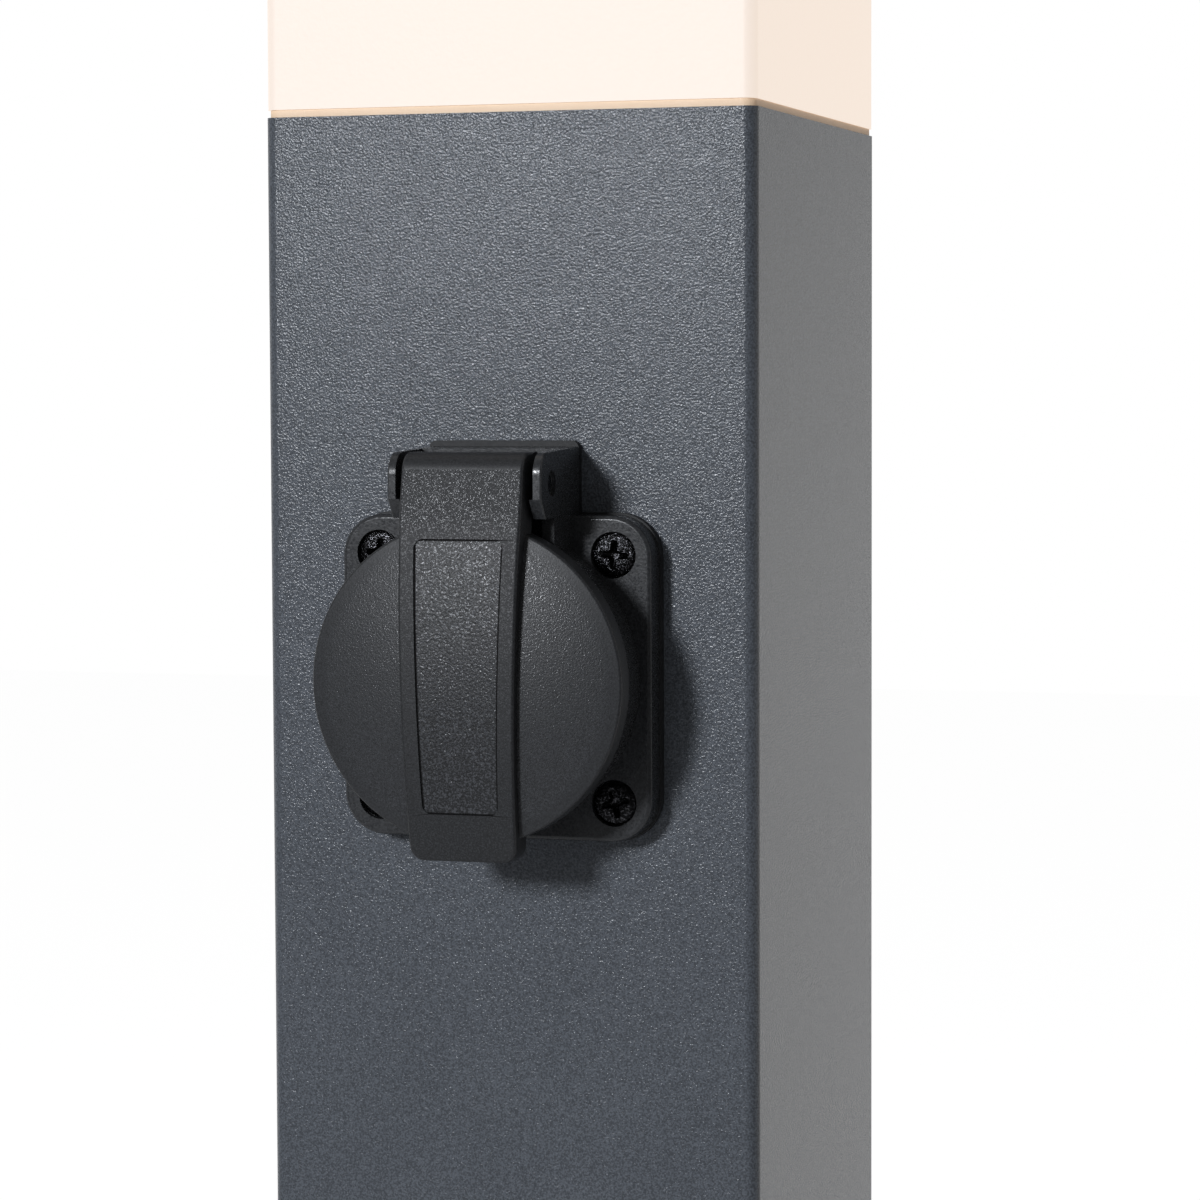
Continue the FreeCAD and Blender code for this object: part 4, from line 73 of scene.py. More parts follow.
# %% [markdown]
# ## Places on the object
# Everything is placed from the solids' own boxes, so a change of size in the model moves it along.
# The post's front face looks along -Y, and the socket's centre is the centre of its round shutter.

# %% Places that the rest of the script uses
post_low, post_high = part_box("post_profile")
shutter_low, shutter_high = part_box("child_shutter")
front = post_low.y
post_top = post_high.z
socket_centre = Vector((0, front, (shutter_low.z + shutter_high.z) / 2))
print("front face at y = %.1f mm, socket centre at z = %.1f mm" % (front / MM, socket_centre.z / MM))

# %% [markdown]
# ## The camera
# The picture was taken a little from the right and from above, with a long lens. A camera set by eye
# gets the size right but not the way the edges run together. So its place and angles were fitted to
# the post's edges, the flange and its four screws, whose sizes are known.

# %% Camera
YAW = math.radians(17.146)
PITCH = math.radians(3.489)
ROLL = math.radians(-0.2267)
CAMERA_PLACE = Vector((182.813 * MM, -583.703 * MM, post_top - 40.551 * MM))
# Both in millimetres, as Blender's camera takes them
SENSOR_WIDTH = 36
LENS = 110.87
NEAREST_SEEN = 0.01
FARTHEST_SEEN = 50

forward = Vector((-math.sin(YAW) * math.cos(PITCH), math.cos(YAW) * math.cos(PITCH), -math.sin(PITCH)))
level = Vector((math.cos(YAW), math.sin(YAW), 0))
rise = level.cross(forward)
across = level * math.cos(ROLL) + rise * math.sin(ROLL)
upward = rise * math.cos(ROLL) - level * math.sin(ROLL)

camera = bpy.data.objects.new("camera", bpy.data.cameras.new("camera"))
scene.collection.objects.link(camera)
turned = Matrix((across, upward, -forward)).transposed().to_4x4()
camera.matrix_world = Matrix.Translation(CAMERA_PLACE) @ turned
camera.data.sensor_width = SENSOR_WIDTH
camera.data.lens = LENS
camera.data.clip_start = NEAREST_SEEN
camera.data.clip_end = FARTHEST_SEEN
scene.camera = camera
print("camera %.0f mm from the socket" % ((socket_centre - CAMERA_PLACE).length / MM))

# %% [markdown]
# ## Light
# The object stands before a white backdrop in a room that is dark on the camera's side, most of all on
# the right. One lamp stands in front, a little to the left and above, almost where the post's front
# would mirror it above the picture's upper edge. So the front gets brighter and its grain glitters more
# towards the top, and the socket throws one short shadow to the right and down. The right side gets no
# lamp: it is seen at a low angle and mirrors the backdrop. The rounded corner between the two mirrors
# the dark room, which gives the dark line along it. More lamps would fill that line and throw more
# shadows than the picture has, so the room's own light does the rest.

# %% World
world = bpy.data.worlds.new("studio")
scene.world = world
world.use_nodes = True
WORLD_LIGHT = 0.19
ROOM_GLOSS_LEFT = 0.36
ROOM_GLOSS_RIGHT = 0.04
# Where the mirrored light changes; the parts of a direction run from -1 to 1
ROOM_TURNS_LEFT = -0.2
ROOM_TURNS_RIGHT = 0.6
BACKDROP_EDGE = 0.5
ABOVE_EDGE = 0.25
ABOVE_SHARE = 0.68


def add(tree, kind, settings=None, inputs=None):
    """Adds one node with its settings and its inputs, which are values or other nodes' sockets."""
    made = tree.nodes.new(kind)
    for name, value in (settings or {}).items():
        setattr(made, name, value)
    for name, value in (inputs or {}).items():
        if isinstance(value, bpy.types.NodeSocket):
            tree.links.new(value, made.inputs[name])
        else:
            made.inputs[name].default_value = value
    return made


tree = world.node_tree
tree.nodes.clear()
way = add(tree, "ShaderNodeSeparateXYZ", None,
          {"Vector": add(tree, "ShaderNodeTexCoord").outputs["Generated"]})
room = add(tree, "ShaderNodeMapRange", {"interpolation_type": "SMOOTHSTEP"},
           {"Value": way.outputs["X"], "From Min": ROOM_TURNS_LEFT, "From Max": ROOM_TURNS_RIGHT,
            "To Min": ROOM_GLOSS_LEFT, "To Max": ROOM_GLOSS_RIGHT})
mirrored = add(tree, "ShaderNodeMapRange", {"interpolation_type": "SMOOTHSTEP"},
               {"Value": way.outputs["Y"], "From Min": -BACKDROP_EDGE, "From Max": BACKDROP_EDGE,
                "To Min": room.outputs["Result"]})
higher = add(tree, "ShaderNodeMapRange", {"interpolation_type": "SMOOTHSTEP"},
             {"Value": way.outputs["Z"], "From Min": -ABOVE_EDGE, "From Max": ABOVE_EDGE,
              "To Min": 1.0, "To Max": ABOVE_SHARE})
mirrored = add(tree, "ShaderNodeMath", {"operation": "MULTIPLY"},
               {0: mirrored.outputs["Result"], 1: higher.outputs["Result"]})
ray = add(tree, "ShaderNodeLightPath")
gloss = add(tree, "ShaderNodeMix", None,
            {"Factor": ray.outputs["Is Glossy Ray"], "A": WORLD_LIGHT, "B": mirrored.outputs[0]})
seen = add(tree, "ShaderNodeMath", {"operation": "MAXIMUM"},
           {0: ray.outputs["Is Camera Ray"], 1: ray.outputs["Is Transmission Ray"]})
strength = add(tree, "ShaderNodeMix", None,
               {"Factor": seen.outputs[0], "A": gloss.outputs["Result"], "B": 1.0})
white = add(tree, "ShaderNodeBackground", None,
            {"Color": (1, 1, 1, 1), "Strength": strength.outputs["Result"]})
add(tree, "ShaderNodeOutputWorld", None, {"Surface": white.outputs[0]})
print("a world of %d nodes" % len(tree.nodes))

# %% Lamp


def direction(azimuth, elevation):
    """The way from the object to something at an azimuth (0 is in front, 90 on the right) and height."""
    a = math.radians(azimuth)
    e = math.radians(elevation)
    return Vector((math.sin(a) * math.cos(e), -math.cos(a) * math.cos(e), math.sin(e)))


def add_lamp(name, azimuth, elevation, distance, energy, colour, size):
    """A round lamp that looks at the socket."""
    data = bpy.data.lights.new(name, "AREA")
    data.shape = "DISK"
    data.energy = energy
    data.color = colour
    data.size = size
    lamp = bpy.data.objects.new(name, data)
    scene.collection.objects.link(lamp)
    way = direction(azimuth, elevation)
    lamp.matrix_world = way.to_track_quat("Z", "Y").to_matrix().to_4x4()
    lamp.location = socket_centre + way * distance
    return lamp


add_lamp("key", azimuth=-17, elevation=16, distance=1.6, energy=16.6, colour=(0.96, 0.99, 1.04), size=0.26)
print("one lamp in front of the post")

# %% [markdown]
# ## The view and the floor
# The colours are shown as they are, with Blender's Standard view. The floor is a plain pale sheet far
# larger than the object. A sheet that is only lit comes out greyer than the backdrop, and a brighter
# lamp would burn out the object. So where the camera or a reflection sees the sheet, it glows a
# little. It ends up as white as the backdrop, and it keeps the object's shadow.

# %% View and floor
scene.view_settings.view_transform = "Standard"


def tone(code):
    """An sRGB hex value as a linear colour with full opacity."""
    channels = [int(code[index:index + 2], 16) / 255 for index in (1, 3, 5)]
    linear = [c / 12.92 if c <= 0.04045 else ((c + 0.055) / 1.055) ** 2.4 for c in channels]
    return (*linear, 1.0)


def new_material(name):
    """An empty material and its tree of nodes."""
    material = bpy.data.materials.new(name)
    material.use_nodes = True
    material.node_tree.nodes.clear()
    return material, material.node_tree


FLOOR_HALF = 6.0
FLOOR_EDGE = 1.0
FLOOR_MIRRORED = 0.85
FLOOR_GLOW = 0.85
floor_paper, tree = new_material("floor_paper")
paper = add(tree, "ShaderNodeBsdfDiffuse", None, {"Color": tone("#dcdcdc")})
place = add(tree, "ShaderNodeSeparateXYZ", None,
            {"Vector": add(tree, "ShaderNodeTexCoord").outputs["Object"]})
behind = add(tree, "ShaderNodeMapRange", {"interpolation_type": "SMOOTHSTEP"},
             {"Value": place.outputs["Y"], "From Min": -FLOOR_EDGE, "From Max": FLOOR_EDGE,
              "To Max": FLOOR_MIRRORED})
ray = add(tree, "ShaderNodeLightPath")
gloss = add(tree, "ShaderNodeMath", {"operation": "MULTIPLY"},
            {0: ray.outputs["Is Glossy Ray"], 1: behind.outputs["Result"]})
seen = add(tree, "ShaderNodeMath", {"operation": "MAXIMUM"},
           {0: ray.outputs["Is Camera Ray"], 1: gloss.outputs[0]})
glow_strength = add(tree, "ShaderNodeMath", {"operation": "MULTIPLY"}, {0: seen.outputs[0], 1: FLOOR_GLOW})
glow = add(tree, "ShaderNodeEmission", None, {"Strength": glow_strength.outputs[0]})
sheet = add(tree, "ShaderNodeAddShader", None, {0: paper.outputs[0], 1: glow.outputs[0]})
add(tree, "ShaderNodeOutputMaterial", None, {"Surface": sheet.outputs[0]})
floor_mesh = bpy.data.meshes.new("floor")
corners = [(FLOOR_HALF * x, FLOOR_HALF * y, 0) for x, y in ((-1, -1), (1, -1), (1, 1), (-1, 1))]
floor_mesh.from_pydata(corners, [], [(0, 1, 2, 3)])
floor_mesh.materials.append(floor_paper)
floor = bpy.data.objects.new("floor", floor_mesh)
scene.collection.objects.link(floor)
print("floor of %.0f m" % (2 * FLOOR_HALF))

# %% [markdown]
# ## Powder-coated aluminium
# The post, its cap and its foot plate are aluminium with a fine-textured polyester powder coat. The
# powder melts into a skin with dents less than half a millimetre apart. The slopes that face the lamp
# make short bright flecks. Darker and lighter specks are painted into the colour too, all over: they
# are painted shade and painted glints of the dents. The colour is an even blue grey that drifts
# slightly from place to place. Dents cut into the mesh would take millions of faces, so a noise tilts
# the surface instead, and a second one paints the specks. The real grains are finer than a pixel of the
# picture and are drawn only as fine as it can show.

# %% Powder coat
DENT_SIZE = 0.36
PAINTED_SPECK_SIZE = 0.3
DRIFT_SIZE = 18
DENT_DEPTH = 0.1 * MM
# The heights of the noise where a painted speck is darkest and lightest, and how dark and light it is there
GRAIN_LOW = 0.36
GRAIN_HIGH = 0.64
GRAIN_PAINTED_SHADE = 0.7
GRAIN_PAINTED_GLINT = 1.3


def per_mm(size):
    """The scale of a pattern whose marks are this many millimetres apart."""
    return 1 / (size * MM)


def make_powder_coat():
    """The skin of dents, with a drifting colour that carries painted specks of shade and glints."""
    material, tree = new_material("textured_polyester_powder_coat")
    place = add(tree, "ShaderNodeTexCoord").outputs["Object"]
    dents = add(tree, "ShaderNodeTexNoise", None,
                {"Vector": place, "Scale": per_mm(DENT_SIZE), "Detail": 1.5, "Roughness": 0.6})
    grain = add(tree, "ShaderNodeTexNoise", None,
                {"Vector": place, "Scale": per_mm(PAINTED_SPECK_SIZE), "Detail": 1.0})
    drift = add(tree, "ShaderNodeTexNoise", None,
                {"Vector": place, "Scale": per_mm(DRIFT_SIZE), "Detail": 3.0})
    colour = add(tree, "ShaderNodeMix", {"data_type": "RGBA"},
                 {"Factor": drift.outputs["Fac"], "A": tone("#4c5056"), "B": tone("#54585e")})
    # Painted specks: darker and lighter grains that stand for the shade and glints of the dents
    grains = add(tree, "ShaderNodeMapRange", None,
                 {"Value": grain.outputs["Fac"], "From Min": GRAIN_LOW, "From Max": GRAIN_HIGH,
                  "To Min": GRAIN_PAINTED_SHADE, "To Max": GRAIN_PAINTED_GLINT})
    colour = add(tree, "ShaderNodeMix", {"data_type": "RGBA", "blend_type": "MULTIPLY"},
                 {"Factor": 1.0, "A": colour.outputs["Result"], "B": grains.outputs["Result"]})
    bump = add(tree, "ShaderNodeBump", None,
               {"Height": dents.outputs["Fac"], "Distance": DENT_DEPTH, "Strength": 1.0})
    shader = add(tree, "ShaderNodeBsdfPrincipled", None,
                 {"Base Color": colour.outputs["Result"], "Roughness": 0.22, "Specular IOR Level": 0.28,
                  "Normal": bump.outputs["Normal"]})
    add(tree, "ShaderNodeOutputMaterial", None, {"Surface": shader.outputs[0]})
    return material


finishes = {"anthracite_coating": make_powder_coat()}
print("a powder coat with dents %.2f mm apart" % DENT_SIZE)

# %% [markdown]
# ## Black plastic of the socket
# The socket is moulded from polyamide in a tool with a spark-eroded skin, so its faces carry a fine
# even grit. Each grain leans its own way, and the few that lean towards the lamp glitter, so the grit
# shows most where the lid's curve mirrors the lamp. Some grains have a flat top, which is glossier and
# is also painted lighter, as a painted glint. The grit's hollows are painted darker and its crests
# lighter, as painted shade and painted light. Two fields of the lid fade out: that of the disc towards
# its rim, and that of the strap away from the hinge. A fade is a number from 0 to 1 over the surface.
# The fields differ in the size, depth and gloss of their grit, so one function makes them all. Its
# grains are drawn a few tenths of a millimetre apart, because finer ones would fade into an even grey.

# %% Spark-eroded polyamide
# The colour painted on the flat tops as a painted glint
PAINTED_GLINT_TONE = "#56585c"
# The flat tops' size as a share of the grit's, and the heights of the noise where they start and are full
FLAT_SIZE = 0.8
FLAT_START = 0.51
FLAT_FULL = 0.62
# Painted shade in the grit's hollows and painted light on its crests:
# The heights of the grit where the plastic is darkest and lightest, and how dark and light it is there
PIT_LOW = 0.3
PIT_HIGH = 0.7
PIT_PAINTED_SHADE = 0.6
CREST_PAINTED_LIGHT = 1.4
MATT_STEP = 0.95


def make_eroded_plastic(name, code, grit, depth, roughness, painted_glint=0.0, polish=0.2, fade=None, shade=None):
    """Black polyamide with a grit whose flat tops are glossier and painted lighter as painted glints, and
    whose hollows get painted shade. From a place, fade makes the share of the grit there, and shade the
    share of light that a narrow corner lets in."""
    material, tree = new_material(name)
    place = add(tree, "ShaderNodeTexCoord").outputs["Object"]
    grains = add(tree, "ShaderNodeTexNoise", None,
                 {"Vector": place, "Scale": per_mm(grit), "Detail": 2.0, "Roughness": 0.6})
    tops = add(tree, "ShaderNodeTexNoise", None,
               {"Vector": place, "Scale": per_mm(grit * FLAT_SIZE), "Detail": 1.0})
    flat = add(tree, "ShaderNodeMapRange", None,
               {"Value": tops.outputs["Fac"],
                "From Min": FLAT_START, "From Max": FLAT_FULL}).outputs["Result"]
    height = grains.outputs["Fac"]
    if fade is not None:
        share = fade(tree, place)
        height = add(tree, "ShaderNodeMath", {"operation": "MULTIPLY"}, {0: height, 1: share}).outputs[0]
        flat = add(tree, "ShaderNodeMath", {"operation": "MULTIPLY"}, {0: flat, 1: share}).outputs[0]
    # Painted shade in the grit's hollows and painted light on its crests
    pit_shade_and_crest_light = add(tree, "ShaderNodeMapRange", None,
               {"Value": grains.outputs["Fac"], "From Min": PIT_LOW, "From Max": PIT_HIGH,
                "To Min": PIT_PAINTED_SHADE, "To Max": CREST_PAINTED_LIGHT})
    skin = add(tree, "ShaderNodeMix", {"data_type": "RGBA", "blend_type": "MULTIPLY"},
               {"Factor": 1.0, "A": tone(code), "B": pit_shade_and_crest_light.outputs["Result"]})
    # The flat tops' lighter colour is a painted glint
    painted_glint_share = add(tree, "ShaderNodeMath", {"operation": "MULTIPLY"}, {0: flat, 1: painted_glint})
    colour = add(tree, "ShaderNodeMix", {"data_type": "RGBA"},
                 {"Factor": painted_glint_share.outputs[0], "A": skin.outputs["Result"],
                  "B": tone(PAINTED_GLINT_TONE)}).outputs["Result"]
    rough = add(tree, "ShaderNodeMapRange", None,
                {"Value": flat, "To Min": roughness, "To Max": polish}).outputs["Result"]
    if shade is not None:
        light = shade(tree, place)
        colour = add(tree, "ShaderNodeMix", {"data_type": "RGBA", "blend_type": "MULTIPLY"},
                     {"Factor": 1.0, "A": colour, "B": light}).outputs["Result"]
        rough = add(tree, "ShaderNodeMix", None,
                    {"Factor": light, "A": MATT_STEP, "B": rough}).outputs["Result"]
    bump = add(tree, "ShaderNodeBump", None, {"Height": height, "Distance": depth * MM, "Strength": 1.0})
    shader = add(tree, "ShaderNodeBsdfPrincipled", None,
                 {"Base Color": colour, "Roughness": rough, "Specular IOR Level": 0.32,
                  "Normal": bump.outputs["Normal"]})
    add(tree, "ShaderNodeOutputMaterial", None, {"Surface": shader.outputs[0]})
    return material


# The housing's flat tops get only a little painted glint
finishes["black_plastic"] = make_eroded_plastic("spark_eroded_polyamide", "#2f3032", grit=0.42,
                                                depth=0.025, roughness=0.32, painted_glint=0.06)
print("black plastic, %d nodes" % len(finishes["black_plastic"].node_tree.nodes))

# %% [markdown]
# ## Opal acrylic
# The head is an extruded opal acrylic tube with a satin skin, lit from inside, so it glows evenly and
# looks almost white. It could be a cloudy volume with a lamp in it, which stays grainy for a long time
# in a render. The real one shows nothing of its inside, so its skin glows by itself as well as taking
# the studio's light, with a faint sandy unevenness.

# %% Opal acrylic
SAND_SIZE = 0.9
SAND_DEPTH = 0.04 * MM
OPAL_GLOW = 0.81


def make_opal():
    """Satin acrylic that glows by itself."""
    material, tree = new_material("opal_acrylic")
    place = add(tree, "ShaderNodeTexCoord").outputs["Object"]
    sand = add(tree, "ShaderNodeTexNoise", None,
               {"Vector": place, "Scale": per_mm(SAND_SIZE), "Detail": 3.0, "Roughness": 0.6})
    colour = add(tree, "ShaderNodeMix", {"data_type": "RGBA"},
                 {"Factor": sand.outputs["Fac"], "A": tone("#696c73"), "B": tone("#71747b")})
    bump = add(tree, "ShaderNodeBump", None, {"Height": sand.outputs["Fac"], "Distance": SAND_DEPTH})
    shader = add(tree, "ShaderNodeBsdfPrincipled", None,
                 {"Base Color": colour.outputs["Result"], "Roughness": 0.5, "IOR": 1.49,
                  "Emission Color": tone("#ffeddc"), "Emission Strength": OPAL_GLOW,
                  "Normal": bump.outputs["Normal"]})
    add(tree, "ShaderNodeOutputMaterial", None, {"Surface": shader.outputs[0]})
    return material


finishes["opal_plastic"] = make_opal()
print("opal acrylic that glows with a strength of %.2f" % OPAL_GLOW)

# %% [markdown]
# ## Small finishes
# The rest are plain workshop finishes: moulded rubber and silicone, satin plastics, glazed ceramic,
# plated steel, brass and mill aluminium. Each could have its own tree, but they differ only in their
# colours and marks. So one function makes the moulded ones and one the metals. Both vary colour or
# roughness a little, at the size of the marks that moulding, plating or turning leave.

# %% Moulded finishes
# How many times larger than the marks the clouds are, and how far the roughness strays either way
CLOUD_MARKS = 12
MOULDED_SPREAD = 0.08


def make_moulded(name, dark, light, marks, roughness, depth=0.02, glow=0.0):
    """A moulded surface with clouds of colour and a skin of fine marks; glow is painted light let through.
    """
    material, tree = new_material(name)
    place = add(tree, "ShaderNodeTexCoord").outputs["Object"]
    clouds = add(tree, "ShaderNodeTexNoise", None,
                 {"Vector": place, "Scale": per_mm(marks * CLOUD_MARKS), "Detail": 3.0})
    skin = add(tree, "ShaderNodeTexNoise", None, {"Vector": place, "Scale": per_mm(marks), "Detail": 2.0})
    colour = add(tree, "ShaderNodeMix", {"data_type": "RGBA"},
                 {"Factor": clouds.outputs["Fac"], "A": tone(dark), "B": tone(light)})
    rough = add(tree, "ShaderNodeMapRange", None,
                {"Value": skin.outputs["Fac"],
                 "To Min": roughness - MOULDED_SPREAD, "To Max": roughness + MOULDED_SPREAD})
    bump = add(tree, "ShaderNodeBump", None, {"Height": skin.outputs["Fac"], "Distance": depth * MM})
    shader = add(tree, "ShaderNodeBsdfPrincipled", None,
                 {"Base Color": colour.outputs["Result"], "Roughness": rough.outputs["Result"],
                  "Emission Color": tone("#ffd0a8"), "Emission Strength": glow,
                  "Normal": bump.outputs["Normal"]})
    add(tree, "ShaderNodeOutputMaterial", None, {"Surface": shader.outputs[0]})
    return material


finishes.update({
    "black_rubber": make_moulded("black_epdm_rubber", "#17181a", "#1e1f21", marks=0.6, roughness=0.62),
    # The silicone's glow is painted light: the head's light let through it
    "light_silicone": make_moulded("light_silicone", "#e6cbae", "#eed6bb", marks=0.5, roughness=0.55,
                                   glow=0.1),
    "white_plastic": make_moulded("white_polyamide", "#dcdcd6", "#e8e8e3", marks=0.4, roughness=0.45),
    "ceramic": make_moulded("glazed_steatite", "#e6e2d6", "#efece3", marks=1.5, roughness=0.18, depth=0.01),
})
print("%d finishes with the moulded ones" % len(finishes))

# %% Metals
# How far the roughness strays down and up
METAL_SMOOTHER = 0.1
METAL_ROUGHER = 0.12


def make_metal(name, dark, light, marks, roughness, stretch=(1, 1, 1), depth=0.01, specks=(0.0, 1.0)):
    """A bare or plated metal whose roughness varies along its marks. The light colour comes in between
    the two heights of specks: close together and high, they leave a few small specks of it."""
    material, tree = new_material(name)
    place = add(tree, "ShaderNodeMapping", None,
                {"Vector": add(tree, "ShaderNodeTexCoord").outputs["Object"], "Scale": stretch})
    lines = add(tree, "ShaderNodeTexNoise", None,
                {"Vector": place.outputs[0], "Scale": per_mm(marks), "Detail": 4.0, "Roughness": 0.6})
    share = add(tree, "ShaderNodeMapRange", None,
                {"Value": lines.outputs["Fac"], "From Min": specks[0], "From Max": specks[1]})
    colour = add(tree, "ShaderNodeMix", {"data_type": "RGBA"},
                 {"Factor": share.outputs["Result"], "A": tone(dark), "B": tone(light)})
    rough = add(tree, "ShaderNodeMapRange", None,
                {"Value": lines.outputs["Fac"],
                 "To Min": roughness - METAL_SMOOTHER, "To Max": roughness + METAL_ROUGHER})
    bump = add(tree, "ShaderNodeBump", None, {"Height": lines.outputs["Fac"], "Distance": depth * MM})
    shader = add(tree, "ShaderNodeBsdfPrincipled", None,
                 {"Base Color": colour.outputs["Result"], "Metallic": 1.0,
                  "Roughness": rough.outputs["Result"], "Normal": bump.outputs["Normal"]})
    add(tree, "ShaderNodeOutputMaterial", None, {"Surface": shader.outputs[0]})
    return material


finishes.update({
    "zinc_steel": make_metal("bright_zinc_plated_steel", "#a9adb2", "#c3c7cb", marks=0.5, roughness=0.34),
    "stainless_steel": make_metal("turned_stainless_steel", "#9c9b98", "#b9b8b4", marks=0.3, roughness=0.3),
    "black_steel": make_metal("black_zinc_plated_steel", "#1b1b1c", "#68686c", marks=0.36, roughness=0.17,
                              depth=0.14, specks=(0.52, 0.7)),
    "brass": make_metal("stamped_brass", "#b98c3c", "#d3ab5c", marks=0.4, roughness=0.3),
    "nickel": make_metal("nickel_plated_steel", "#b5b0a6", "#cbc6bb", marks=0.6, roughness=0.22),
    "tinned_copper": make_metal("tinned_copper", "#b4b2ad", "#c8c6c0", marks=0.4, roughness=0.4),
    "aluminium_sheet": make_metal("mill_finish_aluminium", "#b6b8ba", "#cccdce", marks=0.3, roughness=0.38,
                                  stretch=(0.05, 1, 1)),
})
print("%d finishes with the metals" % len(finishes))

# %% [markdown]
# ## Wire insulation
# The wires inside the post are PVC insulated: brown for the line on the left, blue for the neutral on
# the right, and green and yellow stripes for the earth. The wires of a bundle share one slot, so one
# material has to tell them apart. Between the terminals the colour follows each wire's place from left
# to right, because these wires never cross. The earth lead of the post goes its own way, so it has the
# stripes all along.

# %% Wire insulation
CORE_BORDER = 3.4 * MM
STRIPE_PITCH = 6.0
INSULATION_MARKS = 0.8
INSULATION_SMOOTH = 0.34
INSULATION_ROUGH = 0.5


def add_earth_stripes(tree, place):
    """Green and yellow stripes, as a colour; the wave texture's bands are tau / 10 apart at scale 1."""
    stripe = add(tree, "ShaderNodeTexWave", {"bands_direction": "DIAGONAL"},
                 {"Vector": place, "Scale": per_mm(STRIPE_PITCH) * math.tau / 10, "Distortion": 0.0})
    striped = add(tree, "ShaderNodeMath", {"operation": "GREATER_THAN"}, {0: stripe.outputs["Fac"], 1: 0.5})
    return add(tree, "ShaderNodeMix", {"data_type": "RGBA"},
               {"Factor": striped.outputs[0], "A": tone("#2f7a33"), "B": tone("#d9c21f")}).outputs["Result"]


def make_insulation(name, all_earth):
    """PVC insulation, either of the three cores side by side or of the earth lead alone."""
    material, tree = new_material(name)
    place = add(tree, "ShaderNodeTexCoord").outputs["Object"]
    colour = add_earth_stripes(tree, place)
    if not all_earth:
        apart = add(tree, "ShaderNodeSeparateXYZ", None, {"Vector": place})
        for border, comparison, code in ((-CORE_BORDER, "LESS_THAN", "#5d3a22"),
                                         (CORE_BORDER, "GREATER_THAN", "#2a4f9e")):
            beyond = add(tree, "ShaderNodeMath", {"operation": comparison},
                         {0: apart.outputs["X"], 1: border})
            colour = add(tree, "ShaderNodeMix", {"data_type": "RGBA"},
                         {"Factor": beyond.outputs[0], "A": colour, "B": tone(code)}).outputs["Result"]
    skin = add(tree, "ShaderNodeTexNoise", None,
               {"Vector": place, "Scale": per_mm(INSULATION_MARKS), "Detail": 2.0})
    rough = add(tree, "ShaderNodeMapRange", None,
                {"Value": skin.outputs["Fac"], "To Min": INSULATION_SMOOTH, "To Max": INSULATION_ROUGH})
    shader = add(tree, "ShaderNodeBsdfPrincipled", None,
                 {"Base Color": colour, "Roughness": rough.outputs["Result"]})
    add(tree, "ShaderNodeOutputMaterial", None, {"Surface": shader.outputs[0]})
    return material


finishes["wire_insulation"] = make_insulation("pvc_insulation_of_the_cores", all_earth=False)
earth_insulation = make_insulation("pvc_insulation_of_the_earth_lead", all_earth=True)
print("%d finishes for the slots, and one for the earth lead" % len(finishes))

# %% [markdown]
# ## A finish for every solid
# The model names the slot of each piece, such as brass or ceramic. Most pieces are hidden in the post
# and are seen only when it is taken apart. They could do with one grey, but a part in a library is looked
# at from inside too. So each keeps its own mesh and gets the finish of its slot, and only the earth
# lead gets one of its own.

# %% Finish the solids
slot_of = {part["node"]: part["material_slot"] for part in frame["record"]["subparts"]}
for name, node in nodes.items():
    node.data.materials.clear()
    node.data.materials.append(earth_insulation if name == "earth_lead" else finishes[slot_of[name]])
print("%d solids in the finishes of %d slots" % (len(nodes), len(set(slot_of.values()))))

# %% [markdown]
# ## Smooth copies of the solids
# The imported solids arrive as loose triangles, which show as facets on every rounding. The solids
# themselves stay as they are, so each gets a copy. With its doubles merged, the copy can be shaded
# smoothly over its roundings and kept sharp at its real edges. Weighted normals keep the flat faces
# flat. The copy stands for its node, and here it rides on the same body.

# %% Copy, merge and smooth
SHARP = math.radians(32)
SAME_PLACE = 0.002 * MM


def body_of_node(name):
    """The body that a node of the record belongs to."""
    for body, members in frame["record"]["behaviour"]["bodies"].items():
        if name in members:
            return body
    raise KeyError(name)


def smooth_copy(name):
    """A merged, smoothly shaded copy of a solid that takes its place."""
    mesh = nodes[name].data.copy()
    mesh.name = name + "_smooth"
    shape = bmesh.new()
    shape.from_mesh(mesh)
    bmesh.ops.remove_doubles(shape, verts=shape.verts, dist=SAME_PLACE)
    for edge in shape.edges:
        edge.smooth = len(edge.link_faces) == 2 and edge.calc_face_angle(0) < SHARP
    for face in shape.faces:
        face.smooth = True
    shape.to_mesh(mesh)
    shape.free()
    piece = bpy.data.objects.new(name + "_dressed", mesh)
    scene.collection.objects.link(piece)
    weigh = piece.modifiers.new("weigh", "WEIGHTED_NORMAL")
    weigh.keep_sharp = True
    piece.data = bpy.data.meshes.new_from_object(piece.evaluated_get(bpy.context.evaluated_depsgraph_get()))
    piece.modifiers.clear()
    piece.data.materials.clear()
    piece.data.materials.append(finishes[slot_of[name]])
    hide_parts(name)
    return piece


dressed = {}
for name in ("post_profile", "base_plate", "top_cap", "diffuser", "socket_housing", "socket_lid",
             "socket_gasket", "hinge_pin", "lid_seal", "socket_floor", "child_shutter", "cable_grommet",
             "earth_clip"):
    dressed[name] = smooth_copy(name)
    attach(dressed[name], body_of_node(name))
print("%d solids shaded smoothly" % len(dressed))

# %% [markdown]
# ## The spring of the lid
# The spring's left leg is held by the housing and its right leg by the lid. A spring that rode on one
# of them would cut through the other as the lid opens. Here it only gets a smooth copy, with its place
# baked into its mesh, and rides on no body.

